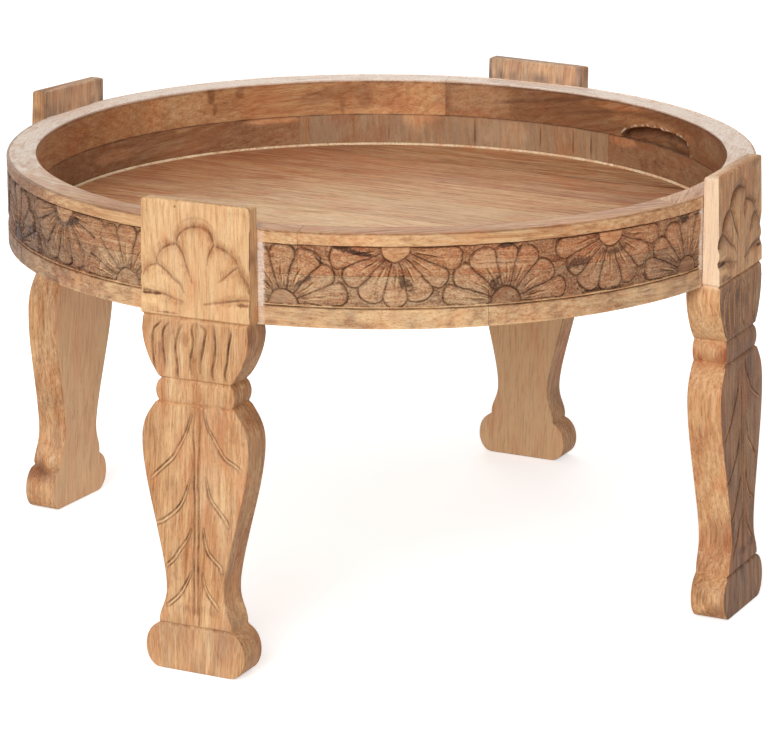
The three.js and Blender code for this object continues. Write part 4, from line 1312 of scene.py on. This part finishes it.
def zinc():
    """Zinc plate of the screws, with fine scratches."""
    f = Finish("screw_steel")
    scratch = f.noise(f.place(), (900.0, 900.0, 200.0), 3.0)
    colour = f.ramp(scratch, [(0.3, tint("8c8a84")), (0.7, tint("b9b7b0"))])
    return f.surface(Base_Color=colour, Metallic=1.0, Roughness=0.25 + scratch * 0.25)


def add_boards():
    """The boards of the solids, with eased edges and a finish for each."""
    for index, (board_tints, red, grey, deep) in enumerate(BOARD_FINISHES, 1):
        node = frame["nodes"][f"tray_board_{index}"]
        set_finish(node, hardwood(f"board_wood_{index}", tints(board_tints), board_grain(index),
                                  shine=0.42, red=red, grey=grey, deep=deep, figure=1.1))
        easing = node.modifiers.new("easing", "BEVEL")
        easing.width = 0.3 * MM
        easing.segments = 2
        easing.limit_method = "ANGLE"


def add_plain_pieces():
    """Bead, battens, dowels and screws, as they are in the solids."""
    finishes = {slot: hardwood(slot, tints(wood_tints), grain_along_y, shine=shine)
                for slot, (wood_tints, shine) in PLAIN_FINISHES.items()}
    finishes["screw_steel"] = zinc()
    for entry in frame["record"]["subparts"]:
        if entry["material_slot"] in finishes:
            set_finish(frame["nodes"][entry["node"]], finishes[entry["material_slot"]])


def add_rim():
    woods = {"upper": hardwood("rim_upper_wood", tints("8c5836 c28a5a d8a774 eec898"), shine=0.42),
             "lower": hardwood("rim_lower_wood", tints("875b3d bb8b62 d2a77a e8c69a"), shine=0.44)}
    for course, wood in woods.items():
        for index in range(1, 7):
            name = f"carved_rim_{course}_{index}"
            piece(name, rim_block(name, course, index), wood, f"rim_{course}_{index}")


def add_legs():
    leg_wood = hardwood("leg_wood", tints("ac7648 cf9a66 e0b07e f0ca98"), shine=0.5, figure=0.55)
    for quarter, side in enumerate(("front", "right", "back", "left")):
        add_leg(side, quarter, leg_wood)


# Floor, light and camera

FLOOR_HALF = 6.0
FLOOR_GLOW = 0.58
WORLD_LIGHT = 0.55


def studio_floor():
    """A wide floor that the camera sees nearly white, with the table's shadow on it."""
    mesh = bpy.data.meshes.new("studio_floor")
    corners = [(x * FLOOR_HALF, y * FLOOR_HALF, 0) for x, y in ((-1, -1), (1, -1), (1, 1), (-1, 1))]
    mesh.from_pydata(corners, [], [(0, 1, 2, 3)])
    floor = placed("studio_floor", mesh)
    f = Finish("studio_floor")
    matt = f.node("ShaderNodeBsdfDiffuse", {}, {"Color": (0.8, 0.8, 0.8, 1.0)}, "BSDF")
    glow = f.node("ShaderNodeEmission", {}, {"Color": (1.0, 1.0, 1.0, 1.0),
                                             "Strength": f.seen_directly() * FLOOR_GLOW}, "Emission")
    both = f.node("ShaderNodeAddShader", {}, {0: matt, 1: glow}, "Shader")
    f.node("ShaderNodeOutputMaterial", {}, {"Surface": both})
    mesh.materials.append(f.material)


def studio_world():
    """A white background, and a plain paler light on the table."""
    world = bpy.data.worlds.new("studio")
    bpy.context.scene.world = world
    nodes = Nodes(world)
    level = nodes.between(nodes.seen_directly(), 0.0, 1.0, WORLD_LIGHT)
    light = nodes.node("ShaderNodeBackground", {}, {"Strength": level}, "Background")
    nodes.node("ShaderNodeOutputWorld", {}, {"Surface": light})


def sun(name, way, angle, power):
    """A distant soft lamp that shines along a direction."""
    data = bpy.data.lights.new(name, "SUN")
    data.energy = power
    data.angle = math.radians(angle)
    lamp = placed(name, data)
    lamp.rotation_euler = Vector(way).to_track_quat("-Z", "Y").to_euler()


def soft_lamp(name, place, aim, size, power):
    """A square lamp that the camera doesn't see."""
    data = bpy.data.lights.new(name, "AREA")
    data.shape = "SQUARE"
    data.size = size
    data.energy = power
    lamp = placed(name, data)
    lamp.location = place
    lamp.rotation_euler = (Vector(aim) - Vector(place)).to_track_quat("-Z", "Y").to_euler()
    lamp.visible_camera = False


# The camera of the photo, as fitted to the rim's circles and the legs
PHOTO_WIDTH = 764
FOCAL_PIXELS = 3523.41
SHIFT_PIXELS = (1.024, -25.65)
SENSOR_WIDTH = 36


def camera():
    azimuth, elevation, roll = math.radians(26.335), math.radians(15.442), math.radians(0.166)
    distance, aim = 3.59342, Vector((0, 0, 0.225))
    back = Vector((math.sin(azimuth) * math.cos(elevation), -math.cos(azimuth) * math.cos(elevation),
                   math.sin(elevation)))
    data = bpy.data.cameras.new("camera")
    data.sensor_width = SENSOR_WIDTH
    data.lens = FOCAL_PIXELS * SENSOR_WIDTH / PHOTO_WIDTH
    data.shift_x, data.shift_y = (pixels / PHOTO_WIDTH for pixels in SHIFT_PIXELS)
    data.clip_end = 50
    body = placed("camera", data)
    body.location = aim + back * distance
    facing = (-back).to_track_quat("-Z", "Y")
    body.rotation_euler = (facing.to_matrix().to_4x4() @ Matrix.Rotation(roll, 4, "Z")).to_euler()
    bpy.context.scene.camera = body


add_boards()
add_plain_pieces()
add_rim()
add_legs()
bpy.context.scene.view_settings.view_transform = "Standard"
studio_floor()
studio_world()
sun("key", (-0.15, 0.86, -0.5), 34, 2.0)
soft_lamp("back", (-0.5, 1.25, 0.55), (0, 0.0, 0.42), 0.8, 5)
camera()
